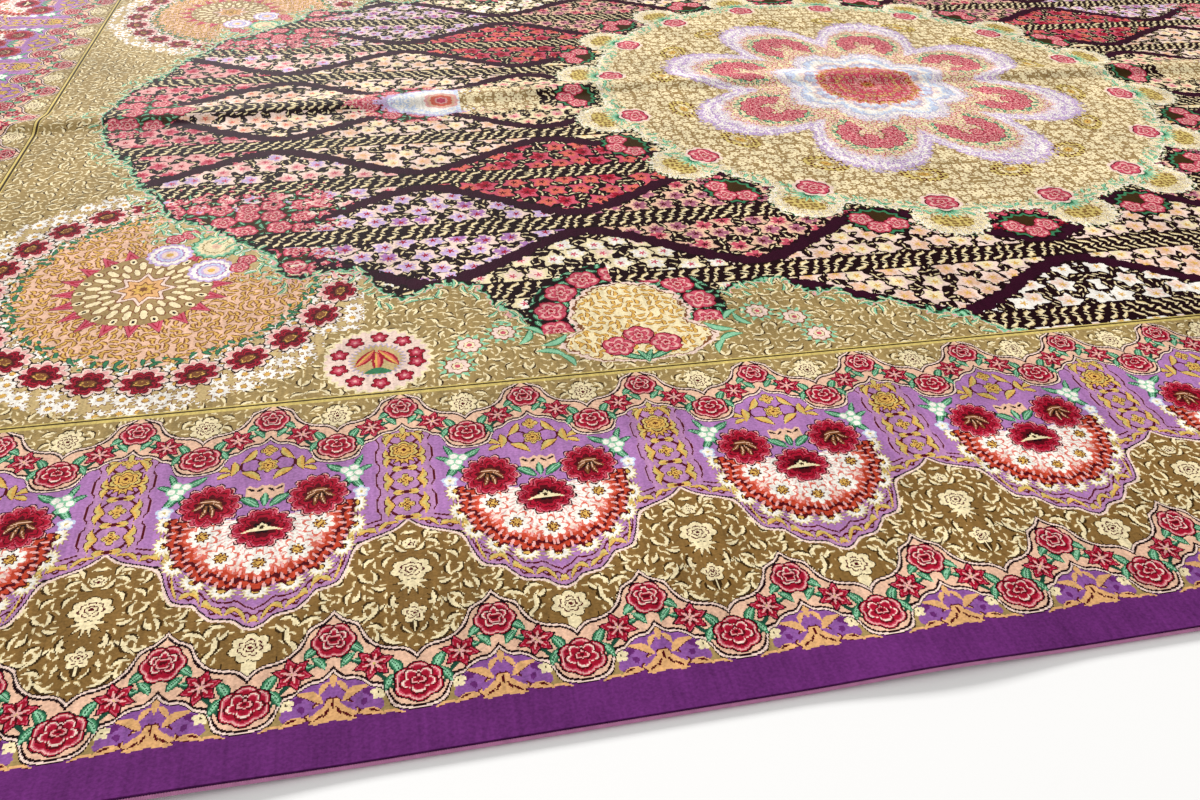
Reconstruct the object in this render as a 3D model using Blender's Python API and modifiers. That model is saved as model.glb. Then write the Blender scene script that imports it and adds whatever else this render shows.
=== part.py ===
"""A hand-knotted silk Persian rug, laid flat on the floor.

Metres, +Z up. The origin is the middle of the rug on the floor, +X runs along the warp (the long way)
and +Y across it. The rug is one cloth with a low fold crease along its middle and two places where
its front edge lifts a little. A thin overcast cord is wound along each long edge.
"""

import math

import bmesh
import bpy
import numpy as np

# Overall size of the rug, cords included.
LENGTH = 3.0
WIDTH = 2.0

# The cloth: knotted silk pile on a silk foundation, and the bare flat-woven strip at each short end.
THICKNESS = 0.0035
FLATWEAVE_WIDTH = 0.010
FLATWEAVE_THICKNESS = 0.0016
PILE_STEP = 0.0005
SHOULDER_WIDTH = 0.004
SHOULDER_SHARE = 0.82

# The overcast cord along each long edge.
CORD_RADIUS = 0.0013
CORD_LIFT = 0.0003
SEAM_GAP = 0.0003
CORD_POINTS = 61

# The fold crease: a soft ridge that is steeper on its front side.
CREASE_HEIGHT = 0.0065
CREASE_FRONT = 0.030
CREASE_BACK = 0.050
CREASE_PATH = (
    {"x": -1.50, "y": -0.040},
    {"x": -1.16, "y": -0.022},
    {"x": -0.72, "y": 0.008},
    {"x": -0.33, "y": 0.040},
    {"x": -0.10, "y": 0.038},
    {"x": 0.16, "y": 0.018},
    {"x": 1.50, "y": 0.016},
)

# Places where the front edge stands off the floor.
EDGE_LIFTS = (
    {"x": -0.90, "half_length": 0.16, "height": 0.0030},
    {"x": -0.39, "half_length": 0.11, "height": 0.0024},
)
LIFT_REACH = 0.060

# How finely the cloth is divided.
COLUMNS_BETWEEN_ENDS = 40
ROWS_OVER_CREASE = 10
ROWS_FROM_CREASE_TO_EDGE = 5
ROWS_OVER_LIFT = 3
SHARP_ANGLE = math.radians(40)

EDGE_Y = WIDTH / 2 - 2 * CORD_RADIUS - SEAM_GAP


def bell(distance, reach):
    """1 at no distance, falling smoothly to 0 at the reach."""
    if abs(distance) >= reach:
        return 0.0
    return 0.5 + 0.5 * math.cos(math.pi * distance / reach)


def crease_y(x):
    """Where the crest of the crease lies at this place along the rug."""
    places = [row["x"] for row in CREASE_PATH]
    crests = [row["y"] for row in CREASE_PATH]
    return float(np.interp(x, places, crests))


def floor_gap(x, y):
    """How far the underside of the cloth stands off the floor."""
    off_crest = y - crease_y(x)
    gap = CREASE_HEIGHT * bell(off_crest, CREASE_BACK if off_crest > 0 else CREASE_FRONT)
    from_front = y + WIDTH / 2
    for lift in EDGE_LIFTS:
        along = bell(x - lift["x"], lift["half_length"])
        gap += lift["height"] * along * bell(from_front, LIFT_REACH)
    return gap


def column_places():
    """The lines across the rug: evenly spaced, with a close pair where pile ends at each flat-woven strip."""
    pile_end = LENGTH / 2 - FLATWEAVE_WIDTH
    inner = list(np.linspace(-pile_end + PILE_STEP, pile_end - PILE_STEP, COLUMNS_BETWEEN_ENDS + 1))
    return [-LENGTH / 2, -pile_end, *inner, pile_end, LENGTH / 2]


def row_places():
    """The lines along the rug, as distances from the crest: close together over the crease and at the edges."""
    crease_front = list(np.linspace(-CREASE_FRONT, 0, ROWS_OVER_CREASE // 2 + 1))
    crease_back = list(np.linspace(0, CREASE_BACK, ROWS_OVER_CREASE // 2 + 1))[1:]
    lift_end = EDGE_Y - LIFT_REACH
    lift_rows = list(np.linspace(lift_end, EDGE_Y - SHOULDER_WIDTH, ROWS_OVER_LIFT + 1))
    plain_front = list(np.linspace(-lift_end, -CREASE_FRONT, ROWS_FROM_CREASE_TO_EDGE + 1))[:-1]
    plain_back = list(np.linspace(CREASE_BACK, lift_end, ROWS_FROM_CREASE_TO_EDGE + 1))[1:]
    front_rows = [-EDGE_Y, *[-row for row in reversed(lift_rows)]]
    back_rows = [*lift_rows[1:], EDGE_Y]
    return [*front_rows[:-1], *plain_front, *crease_front, *crease_back, *plain_back, *back_rows]


def follow_crease(x, row):
    """The row's real place: rows near the crease run along it, and the edges stay straight."""
    if row < 0:
        share = (row + EDGE_Y) / (EDGE_Y - CREASE_FRONT)
    else:
        share = (EDGE_Y - row) / (EDGE_Y - CREASE_BACK)
    return row + crease_y(x) * min(1.0, share)


def make_material(name, colour, roughness):
    material = bpy.data.materials.new(name)
    material.use_nodes = True
    shader = material.node_tree.nodes["Principled BSDF"]
    shader.inputs["Base Color"].default_value = (*colour, 1.0)
    shader.inputs["Roughness"].default_value = roughness
    shader.inputs["Metallic"].default_value = 0.0
    return material


def make_cloth(collection, material):
    """The rug's one cloth: a sheet over the floor, thickened upwards, thinner past the end of the pile."""
    columns, rows = column_places(), row_places()
    mesh = bpy.data.meshes.new("rug_body")
    grid = bmesh.new()
    bmesh.ops.create_grid(grid, x_segments=len(columns) - 1, y_segments=len(rows) - 1, size=1.0)
    shares = grid.verts.layers.deform.verify()
    for vert in grid.verts:
        column = round((vert.co.x + 1) / 2 * (len(columns) - 1))
        row = round((vert.co.y + 1) / 2 * (len(rows) - 1))
        x, y = columns[column], follow_crease(columns[column], rows[row])
        vert.co = (x, y, floor_gap(x, y))
        thickness = SHOULDER_SHARE if row in (0, len(rows) - 1) else 1.0
        if column in (0, 1, len(columns) - 2, len(columns) - 1):
            thickness = FLATWEAVE_THICKNESS / THICKNESS
        vert[shares][0] = thickness
    grid.to_mesh(mesh)
    grid.free()
    cloth = bpy.data.objects.new("rug_body", mesh)
    collection.objects.link(cloth)
    cloth.vertex_groups.new(name="thickness")
    solidify = cloth.modifiers.new("Thickness", "SOLIDIFY")
    solidify.thickness = THICKNESS
    solidify.offset = 1.0
    solidify.vertex_group = "thickness"
    mesh.shade_smooth()
    mesh.set_sharp_from_angle(angle=SHARP_ANGLE)
    mesh.materials.append(material)
    return cloth


def make_selvedge(name, side, collection, material):
    """The cord wound along one long edge. It rises with the edge where the edge lifts."""
    curve = bpy.data.curves.new(name, "CURVE")
    curve.dimensions = "3D"
    curve.bevel_depth = CORD_RADIUS
    curve.bevel_resolution = 2
    curve.use_fill_caps = True
    spline = curve.splines.new("POLY")
    spline.points.add(CORD_POINTS - 1)
    y = side * (WIDTH / 2 - CORD_RADIUS)
    for point, x in zip(spline.points, np.linspace(-LENGTH / 2, LENGTH / 2, CORD_POINTS)):
        point.co = (x, y, floor_gap(x, y) + CORD_LIFT + CORD_RADIUS, 1.0)
    cord = bpy.data.objects.new(name, curve)
    collection.objects.link(cord)
    curve.materials.append(material)
    return cord


def main():
    for obj in list(bpy.data.objects):
        bpy.data.objects.remove(obj)
    rug = bpy.data.collections.new("persian_rug")
    bpy.context.scene.collection.children.link(rug)
    pile_silk = make_material("pile_silk", (0.52, 0.36, 0.22), 0.55)
    cord_silk = make_material("cord_silk", (0.58, 0.24, 0.40), 0.50)
    make_cloth(rug, pile_silk)
    make_selvedge("selvedge_front", -1, rug, cord_silk)
    make_selvedge("selvedge_back", 1, rug, cord_silk)


main()
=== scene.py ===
"""The looks of a hand-knotted silk Persian rug that lies flat on the floor.

The rug is one cloth, and its whole pattern is worked out in its pile materials, knot by knot, the way a
knotter reads a chart: each knot takes one dyed silk from a short list. Lengths in the pattern are counted
in repeats: one repeat is the way from the middle of a shield to the middle of the next column.
"""

import ast
import math

import bpy
import numpy as np
from mathutils import Matrix, Vector


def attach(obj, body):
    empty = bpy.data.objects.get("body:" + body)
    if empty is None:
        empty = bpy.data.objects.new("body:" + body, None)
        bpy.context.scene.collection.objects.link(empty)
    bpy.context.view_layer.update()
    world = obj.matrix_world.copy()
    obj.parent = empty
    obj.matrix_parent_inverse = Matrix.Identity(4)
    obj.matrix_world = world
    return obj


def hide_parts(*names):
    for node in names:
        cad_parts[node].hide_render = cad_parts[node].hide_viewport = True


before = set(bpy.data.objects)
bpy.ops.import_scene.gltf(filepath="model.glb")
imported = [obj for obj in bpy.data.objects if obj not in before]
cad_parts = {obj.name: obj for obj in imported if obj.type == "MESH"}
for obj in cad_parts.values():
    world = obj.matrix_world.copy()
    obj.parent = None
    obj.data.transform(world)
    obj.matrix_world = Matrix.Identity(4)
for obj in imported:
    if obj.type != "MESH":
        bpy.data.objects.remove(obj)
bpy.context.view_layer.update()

# The rug, as its solids are.
HALF_LENGTH = 1.5
HALF_WIDTH = 1.0
THICKNESS = 0.0035
FLATWEAVE_WIDTH = 0.010
FLATWEAVE_THICKNESS = 0.0016
PILE_STEP = 0.0005
CORD_RADIUS = 0.0013
CORD_LIFT = 0.0003
SEAM_GAP = 0.0003
EDGE_Y = HALF_WIDTH - 2 * CORD_RADIUS - SEAM_GAP
CREASE_HEIGHT = 0.0065
CREASE_FRONT = 0.030
CREASE_BACK = 0.050
CREASE_PATH = (
    {"x": -1.50, "y": -0.040},
    {"x": -1.16, "y": -0.022},
    {"x": -0.72, "y": 0.008},
    {"x": -0.33, "y": 0.040},
    {"x": -0.10, "y": 0.038},
    {"x": 0.16, "y": 0.018},
    {"x": 1.50, "y": 0.016},
)
EDGE_LIFTS = (
    {"x": -0.90, "half_length": 0.16, "height": 0.0030},
    {"x": -0.39, "half_length": 0.11, "height": 0.0024},
)
LIFT_REACH = 0.060

# The silk wound over a long edge: the length of one wrap, how thin it is at its ends and how much it leans.
WRAP = 0.0015
WRAP_WAIST = 0.8
WRAP_LEAN = 0.35

# The cloth's cells, over flat ground and over the crease, which lies between these two rows. All in metres.
CELL = 0.0125
CREASE_CELL = 0.0045
CREASE_ROWS = (-0.09, 0.13)

# Points of a mesh that lie closer than this become one, and the floor lies this far under the rug.
WELD = 0.00002
FLOOR_DROP = 0.0003

# The pattern's sizes: one knot, one repeat, and the field inside the border, in metres.
KNOT = 0.0009
REPEAT = 0.1034
FIELD_HALF_LENGTH = 1.15
FIELD_HALF_WIDTH = 0.65

# The border's chart, in repeats: how far in from the edge its height is nought, how far in from the first
# ribbon the second lies, and how a short side's repeats are moved and squeezed so that the corners meet.
CHART_FOOT = 1.06
RIBBON_STEP = 2.255
SHORT_SIDE_START = 5
SHORT_SIDE_SQUEEZE = 0.9823

# Where one pile material gives way to the next, in metres: from the rug's edge, or from its middle. Sides are
# distances across the rug.
GUARD_WIDTH = 0.0305
SHIELD_SPLIT = 0.1915
MIDDLE_HALF = 0.505
END_START = 0.788
CORNER_START = 0.752
CORNER_SIDES = (0.258, 0.552)
PLAIN_SIDES = (0.092, 0.444)

QUARTER_TURN = math.pi / 2

# How far apart the silk's tone changes, in metres: between knots, across and along a streak of painted sheen,
# between skeins, between patches of painted sheen where the pile leans another way, and along the thread of
# the cords.
KNOT_SHADE = 0.002
SHEEN_STREAK_SIZE = (0.004, 0.07, 0.07)
SKEIN_SHADE = 0.022
LEAN_SHEEN_SIZE = 0.125
THREAD_SHADE = 0.0055

# How far apart the threads of the end strips and of the cords lie.
THREAD = 0.0012

# The dyed silks.
DYES = {
    "outline": "#1E060C",
    "aubergine": "#33081F",
    "purple": "#6A2C70",
    "violet": "#90589E",
    "orchid": "#B27CB6",
    "lilac": "#CDB2DA",
    "mallow": "#BC88B4",
    "peach": "#F0C2A4",
    "orange": "#E6B076",
    "rose": "#D0566A",
    "crimson": "#A8142E",
    "maroon": "#560A14",
    "pink": "#EFB0AA",
    "blush": "#F8DACA",
    "coral": "#E2705C",
    "pine": "#1E4A38",
    "green": "#3C8058",
    "mint": "#94CEA6",
    "olive": "#8A6838",
    "tan": "#A58B58",
    "sand": "#CDB27C",
    "honey": "#A98C5C",
    "cream": "#F8E6B8",
    "ivory": "#FDF6EA",
    "gold": "#E2B25A",
    "straw": "#D8C070",
    "ice": "#CCD8EE",
    "grey": "#BCACC4",
    "brown": "#84502C",
    "vermilion": "#C4452C",
    "bark": "#3E2A10",
    "mauve": "#B0687E",
}
SHADES = len(DYES)


def add_node(tree, kind, links=(), **settings):
    """Adds a node with its settings and its inputs, by order or by name, each a socket or a plain value."""
    node = tree.nodes.new(kind)
    for name, value in settings.items():
        setattr(node, name, value)
    for key, value in links.items() if isinstance(links, dict) else enumerate(links):
        if isinstance(value, bpy.types.NodeSocket):
            tree.links.new(value, node.inputs[key])
        else:
            node.inputs[key].default_value = value
    return node


OPERATORS = {
    ast.Add: "ADD",
    ast.Sub: "SUBTRACT",
    ast.Mult: "MULTIPLY",
    ast.Div: "DIVIDE",
    ast.Lt: "LESS_THAN",
    ast.Gt: "GREATER_THAN",
}


def work_out(tree, formula, **known):
    """Adds the nodes of a formula. Its names stand for sockets or numbers, its functions for Math nodes."""

    def value_of(part):
        if isinstance(part, ast.Constant):
            return part.value
        if isinstance(part, ast.Name):
            return known[part.id]
        if isinstance(part, ast.UnaryOp):
            return value_of(ast.BinOp(ast.Constant(-1.0), ast.Mult(), part.operand))
        if isinstance(part, ast.BinOp):
            operation, inputs = OPERATORS[type(part.op)], [part.left, part.right]
        elif isinstance(part, ast.Compare):
            operation, inputs = OPERATORS[type(part.ops[0])], [part.left, part.comparators[0]]
        else:
            operation, inputs = part.func.id.upper(), part.args
        links = [value_of(each) for each in inputs]
        return add_node(tree, "ShaderNodeMath", links, operation=operation).outputs[0]

    return value_of(ast.parse(formula).body[0].value)


def chart(draw):
    """Makes a drawing into a node group: it is drawn once, and each call adds the group with its inputs."""
    sockets = {float: "NodeSocketFloat", Vector: "NodeSocketVector"}

    def used(tree, *inputs):
        group = bpy.data.node_groups.get(draw.__name__)
        if group is None:
            group = bpy.data.node_groups.new(draw.__name__, "ShaderNodeTree")
            for name, kind in draw.__annotations__.items():
                group.interface.new_socket(name, in_out="INPUT", socket_type=sockets[kind])
            group.interface.new_socket("ink", in_out="OUTPUT", socket_type="NodeSocketFloat")
            given = add_node(group, "NodeGroupInput")
            ink = draw(group, *given.outputs[:len(draw.__annotations__)])
            add_node(group, "NodeGroupOutput", [ink])
        return add_node(tree, "ShaderNodeGroup", inputs, node_tree=group).outputs[0]

    return used


def dye(name):
    """A silk's place in the list of dyes, as the shade of grey that stands for it until the last node."""
    return (list(DYES).index(name) + 0.5) / SHADES


def lay_bands(tree, under, across, bands):
    """Lays bands of silk over what is under them. A band runs from its place to the next; None is clear."""
    ramp = add_node(tree, "ShaderNodeValToRGB", [across])
    ramp.color_ramp.interpolation = "CONSTANT"
    stops = ramp.color_ramp.elements
    while len(stops) < len(bands):
        stops.new(1.0)
    for stop, (start, name) in zip(stops, bands):
        stop.position = start
    for stop, (start, name) in zip(stops, bands):
        shade = 0.0 if name is None else dye(name)
        stop.color = (shade, shade, shade, 0.0 if name is None else 1.0)
    return lay(tree, under, ramp.outputs["Alpha"], ramp.outputs["Color"])


def lay(tree, under, share, over):
    """Lays one silk, or what another part of the chart says, over what is under it."""
    over = dye(over) if isinstance(over, str) else over
    return add_node(tree, "ShaderNodeMix", {0: share, 2: under, 3: over}).outputs[0]


def local(tree, place, at, size, turn=0.0):
    """The place seen from a motif's middle, turned with it, with its size as one."""
    sizes = size if isinstance(size, tuple) else (size, size)
    turned = (0, 0, math.radians(turn))
    links = {"Vector": place, "Location": (*at, 0), "Rotation": turned, "Scale": (*sizes, 1)}
    return add_node(tree, "ShaderNodeMapping", links, vector_type="TEXTURE").outputs[0]


def flower(tree, under, place, at, size, petals, depth, bands, turn=0.0, pointed=False):
    """A flower seen from above: rings of silk that dip between its petals."""
    return rings(tree, under, local(tree, place, at, size, turn), petals, depth, bands, pointed)


def rings(tree, under, seen, petals, depth, bands, pointed=False, curl=0.0):
    """The rings of one flower whose middle is at nought and whose size is one. Curl bends its petals."""
    x, y, _ = add_node(tree, "ShaderNodeSeparateXYZ", [seen]).outputs
    radius = add_node(tree, "ShaderNodeVectorMath", [seen], operation="LENGTH").outputs["Value"]
    edge = "1 - depth * absolute(sine(half * arctan2(x, y) + curl * radius))"
    if not pointed:
        edge = "1 - depth + depth * absolute(cosine(half * arctan2(x, y) + curl * radius))"
    across = work_out(
        tree, f"radius / ({edge})", radius=radius, half=petals / 2, depth=depth, curl=curl, x=x, y=y
    )
    return lay_bands(tree, under, across, bands)


def leaf(tree, under, place, at, size, turn, bands, bend=0.0, taper=0.0):
    """A pointed leaf. Its bands run across it, from one edge at 0 to the other at 1. Taper thins one end."""
    x, y, _ = add_node(tree, "ShaderNodeSeparateXYZ", [local(tree, place, at, size, turn)]).outputs
    width = "maximum(1 - x * x, 0.00001)" + (" * (1 + taper * x)" if taper else "")
    formula = f"0.5 + 0.5 * (y + bend * x * x) / ({width})"
    return lay_bands(tree, under, work_out(tree, formula, x=x, y=y, bend=bend, taper=taper), bands)


def line_through(tree, along, points, sharp=False):
    """The height of a line drawn through given points, at a place along it."""
    span = points[-1][0]
    lows, highs = min(y for _, y in points), max(y for _, y in points)
    share = work_out(tree, "along / span", along=along, span=span)
    node = add_node(tree, "ShaderNodeFloatCurve", {"Value": share})
    curve = node.mapping.curves[0]
    while len(curve.points) < len(points):
        curve.points.new(0.5, 0.5)
    for point, (x, y) in zip(curve.points, points):
        point.location = (x / span, (y - lows) / (highs - lows))
        point.handle_type = "VECTOR" if sharp else "AUTO"
    node.mapping.update()
    return work_out(tree, "line * reach + lows", line=node.outputs[0], reach=highs - lows, lows=lows)


def height_over(tree, along, height, points):
    """How far a place lies over a scalloped line, measured square to the line."""
    slopes = [(b[1] - a[1]) / (b[0] - a[0]) for a, b in zip(points, points[1:])]
    leans = [slopes[0], *[(a + b) / 2 for a, b in zip(slopes, slopes[1:])], slopes[-1]]
    squares = [(x, 1 / math.hypot(1, lean)) for (x, _), lean in zip(points, leans)]
    line = line_through(tree, along, points)
    square = line_through(tree, along, squares)
    return work_out(tree, "(height - line) * square", height=height, line=line, square=square)


def scatter(tree, place, spacing, evenness=0.3, shift=0.0):
    """Splits a ground into uneven cells. Gives the place seen from a cell's middle, and the cell's number."""
    moved = place
    if shift:
        moved = add_node(tree, "ShaderNodeVectorMath", [place, (shift, shift, 0)], operation="ADD").outputs[0]
    cells = add_node(
        tree, "ShaderNodeTexVoronoi", {"Vector": moved, "Scale": 1 / spacing, "Randomness": 1 - evenness},
        voronoi_dimensions="2D",
    )
    seen = add_node(tree, "ShaderNodeVectorMath", [moved, cells.outputs["Position"]], operation="SUBTRACT")
    drawn = add_node(tree, "ShaderNodeSeparateColor", [cells.outputs["Color"]]).outputs[0]
    return seen.outputs[0], drawn


def scatter_leaves(tree, under, place, spacing, size, bands, bend, evenness=0.3, shift=0.0):
    """Strews a ground with small bent leaves that point all ways."""
    seen, drawn = scatter(tree, place, spacing, evenness, shift)
    angle = work_out(tree, "drawn * full_turn", drawn=drawn, full_turn=math.tau)
    turned = add_node(
        tree, "ShaderNodeVectorRotate", {"Vector": seen, "Angle": angle}, rotation_type="Z_AXIS"
    ).outputs[0]
    return leaf(tree, under, turned, (0, 0), size, 0, bands, bend, 0.6)


def scatter_flowers(
    tree, under, place, spacing, size, petals, depth, bands, evenness=0.5, shift=0.0, pointed=False
):
    """Strews a ground with small flowers."""
    seen, _ = scatter(tree, place, spacing, evenness, shift)
    return flower(tree, under, seen, (0, 0), size, petals, depth, bands, pointed=pointed)


def polar(tree, place, at):
    """How far a place is from a middle, and in which direction."""
    seen = local(tree, place, at, 1.0)
    x, y, _ = add_node(tree, "ShaderNodeSeparateXYZ", [seen]).outputs
    radius = add_node(tree, "ShaderNodeVectorMath", [seen], operation="LENGTH").outputs["Value"]
    return radius, work_out(tree, "arctan2(y, x)", x=x, y=y)


def fold(tree, radius, angle, start, step):
    """Folds a ring into a wedge about a spoke. Gives the place across and along it, and the turn from it."""
    off = work_out(tree, "pingpong(angle - start, step)", angle=angle, start=start, step=step)
    across = work_out(tree, "radius * sine(off)", radius=radius, off=off)
    out = work_out(tree, "radius * cosine(off)", radius=radius, off=off)
    return add_node(tree, "ShaderNodeCombineXYZ", [across, out]).outputs[0], off


def cover(*inks_and_starts):
    """Bands that start clear at 0."""
    return ((0, None), *inks_and_starts)


GREEN_LEAF = cover(
    (0.04, "pine"), (0.15, "green"), (0.32, "mint"), (0.48, "pine"), (0.55, "mint"), (0.68, "green"),
    (0.84, "pine"), (0.96, None),
)
CREAM_LEAF = cover((0.05, "cream"), (0.60, "bark"), (0.95, None))
SMALL_LEAF = cover((0.06, "cream"), (0.94, None))
SPINE_LEAF = cover((0.06, "cream"), (0.66, "sand"), (0.94, None))
GOLD_LEAF = cover((0.02, "maroon"), (0.15, "gold"), (0.50, "straw"), (0.84, "maroon"), (0.98, None))
PALMETTE = (
    (0, "maroon"), (0.12, "cream"), (0.24, "maroon"), (0.32, "cream"), (0.50, "maroon"), (0.58, "cream"),
    (0.92, "bark"), (0.99, None),
)
GOLD_FLOWER = (
    (0, "maroon"), (0.16, "gold"), (0.40, "maroon"), (0.47, "gold"), (0.66, "maroon"), (0.72, "straw"),
    (0.88, "maroon"), (0.99, None),
)

# The scalloped lines of the border: how far along from a middle line of the pattern, and the chart's height.
RIBBON_TOP = (
    (0.0, -0.385), (0.03, -0.345), (0.08, -0.31), (0.15, -0.295), (0.22, -0.27), (0.28, -0.22),
    (0.325, -0.15), (0.35, -0.085), (0.39, -0.05), (0.43, -0.03), (0.465, 0.0), (0.5, 0.045),
)
RIBBON_FOOT = (
    (0.0, -0.735), (0.06, -0.73), (0.12, -0.71), (0.165, -0.66), (0.19, -0.59), (0.22, -0.55), (0.27, -0.535),
    (0.32, -0.49), (0.37, -0.465), (0.43, -0.455), (0.465, -0.43), (0.5, -0.385),
)
SHIELD_FOOT = (
    (0.0, -0.015), (0.06, 0.01), (0.12, 0.065), (0.18, 0.085), (0.26, 0.10), (0.33, 0.16), (0.39, 0.235),
    (0.46, 0.255), (0.53, 0.29), (0.58, 0.38), (0.615, 0.50), (0.67, 0.595), (0.74, 0.635), (0.82, 0.665),
    (0.90, 0.70), (0.95, 0.735), (1.0, 0.785),
)


def fray(tree, place, size, detail=1.0):
    """An uneven number about nought, for edges that wander. size is how far apart it changes."""
    noise = add_node(tree, "ShaderNodeTexNoise", {"Vector": place, "Scale": 1 / size, "Detail": detail})
    return work_out(tree, "noise - 0.5", noise=noise.outputs["Fac"])


@chart
def cabbage_rose(tree, ink: float, seen: Vector):
    """A full red rose about a middle at nought: petals with light edges, folded over each other."""
    ink = rings(tree, ink, seen, 6, 0.14, (
        (0, "crimson"), (0.74, "rose"), (0.80, "pink"), (0.87, "crimson"), (0.92, "outline"), (0.99, None),
    ))
    ink = rings(tree, ink, local(tree, seen, (0.05, 0.07), 0.70, 20), 5, 0.34, (
        (0, "crimson"), (0.66, "rose"), (0.73, "blush"), (0.83, "crimson"), (0.88, "maroon"), (0.99, None),
    ), curl=0.9)
    return rings(tree, ink, local(tree, seen, (-0.03, 0.09), 0.38, 50), 3, 0.42, (
        (0, "maroon"), (0.30, "crimson"), (0.58, "pink"), (0.78, "maroon"), (0.98, None),
    ), curl=-1.2)


@chart
def carnation(tree, ink: float, seen: Vector):
    """A dark carnation about a middle at nought: a pale ruffle round red petals and a brown heart."""
    ink = rings(tree, ink, seen, 11, 0.24, (
        (0, "blush"), (0.62, "pink"), (0.80, "blush"), (0.91, "outline"), (0.99, None),
    ), curl=1.6)
    ink = rings(tree, ink, local(tree, seen, (0.02, 0.08), (0.78, 0.70), 10), 7, 0.36, (
        (0, "maroon"), (0.60, "crimson"), (0.70, "maroon"), (0.80, "crimson"), (0.92, "maroon"), (0.99, None),
    ), curl=-1.4)
    ink = rings(tree, ink, local(tree, seen, (0.0, 0.12), (0.40, 0.24)), 5, 0.3, (
        (0, "brown"), (0.55, "gold"), (0.70, "brown"), (0.80, "bark"), (0.99, None),
    ), curl=0.6)
    return leaf(tree, ink, seen, (0.0, -0.06), (0.34, 0.07), 8, cover((0.1, "brown"), (0.9, None)), -0.9)


@chart
def pale_rose(tree, ink: float, seen: Vector):
    """The field's lighter rose, about a middle at nought, one across."""
    ink = rings(tree, ink, seen, 5, 0.15, ((0, "rose"), (0.88, "maroon"), (0.97, None)))
    return rings(tree, ink, seen, 5, 0.48, (
        (0, "crimson"), (0.16, "pink"), (0.30, "crimson"), (0.38, "rose"), (0.52, "crimson"), (0.58, "pink"),
        (0.78, "rose"), (0.90, "crimson"), (0.97, None),
    ), curl=0.9)


@chart
def bloom(tree, ink: float, seen: Vector):
    """A wide red bloom about a middle at nought, one across: ruffled petals round a dark heart."""
    ink = rings(tree, ink, seen, 13, 0.20, (
        (0, "crimson"), (0.76, "rose"), (0.84, "crimson"), (0.89, "pink"), (0.94, "outline"), (0.99, None),
    ), curl=0.8)
    ink = rings(tree, ink, seen, 9, 0.34, (
        (0, "maroon"), (0.50, "crimson"), (0.62, "maroon"), (0.67, "crimson"), (0.80, "rose"),
        (0.85, "maroon"), (0.90, None),
    ), curl=-1.2)
    return rings(tree, ink, seen, 7, 0.3, ((0, "outline"), (0.30, "maroon"), (0.42, None)))


@chart
def rose_ribbon(tree, below: float, above: float, near: float, level: float):
    """A winding peach ribbon with roses and lilies, between two grounds. near runs from a dip to a peak."""
    top = height_over(tree, near, level, RIBBON_TOP)
    foot = height_over(tree, near, level, RIBBON_FOOT)
    ink = lay(tree, above, work_out(tree, "foot < 0", foot=foot), below)
    within = work_out(tree, "minimum(foot, -top) * 2 + 0.1", foot=foot, top=top)
    ink = lay_bands(tree, ink, within, cover(
        (0.055, "outline"), (0.072, "blush"), (0.10, "outline"), (0.13, "peach")
    ))
    spot = add_node(tree, "ShaderNodeCombineXYZ", [near, level]).outputs[0]
    ink = leaf(tree, ink, spot, (0.26, -0.44), (0.26, 0.02), 44, cover((0.1, "pine"), (0.9, None)), 3.0)
    for at, size, turn in (
        ((0.125, -0.43), (0.085, 0.042), 62),
        ((0.17, -0.53), (0.075, 0.035), -58),
        ((0.375, -0.235), (0.08, 0.04), 35),
        ((0.42, -0.325), (0.07, 0.034), -50),
        ((0.335, -0.345), (0.055, 0.026), 10),
    ):
        ink = leaf(tree, ink, spot, at, size, turn, GREEN_LEAF, 0.4)
    ink = flower(tree, ink, spot, (0.262, -0.385), 0.135, 6, 0.40, (
        (0, "crimson"), (0.74, "rose"), (0.82, "crimson"), (0.88, "outline"), (0.99, None)
    ), 15, pointed=True)
    for turn, size, silks in ((45, 0.10, ("maroon", "maroon")), (15, 0.088, ("straw", "pink"))):
        ink = flower(tree, ink, spot, (0.262, -0.385), size, 6, 0.86, (
            (0, silks[0]), (0.16, silks[1]), (0.85, None)
        ), turn, pointed=True)
    ink = cabbage_rose(tree, ink, local(tree, spot, (0, -0.562), (0.165, 0.15), 0))
    return cabbage_rose(tree, ink, local(tree, spot, (0.5, -0.175), 0.145, 30))


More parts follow.
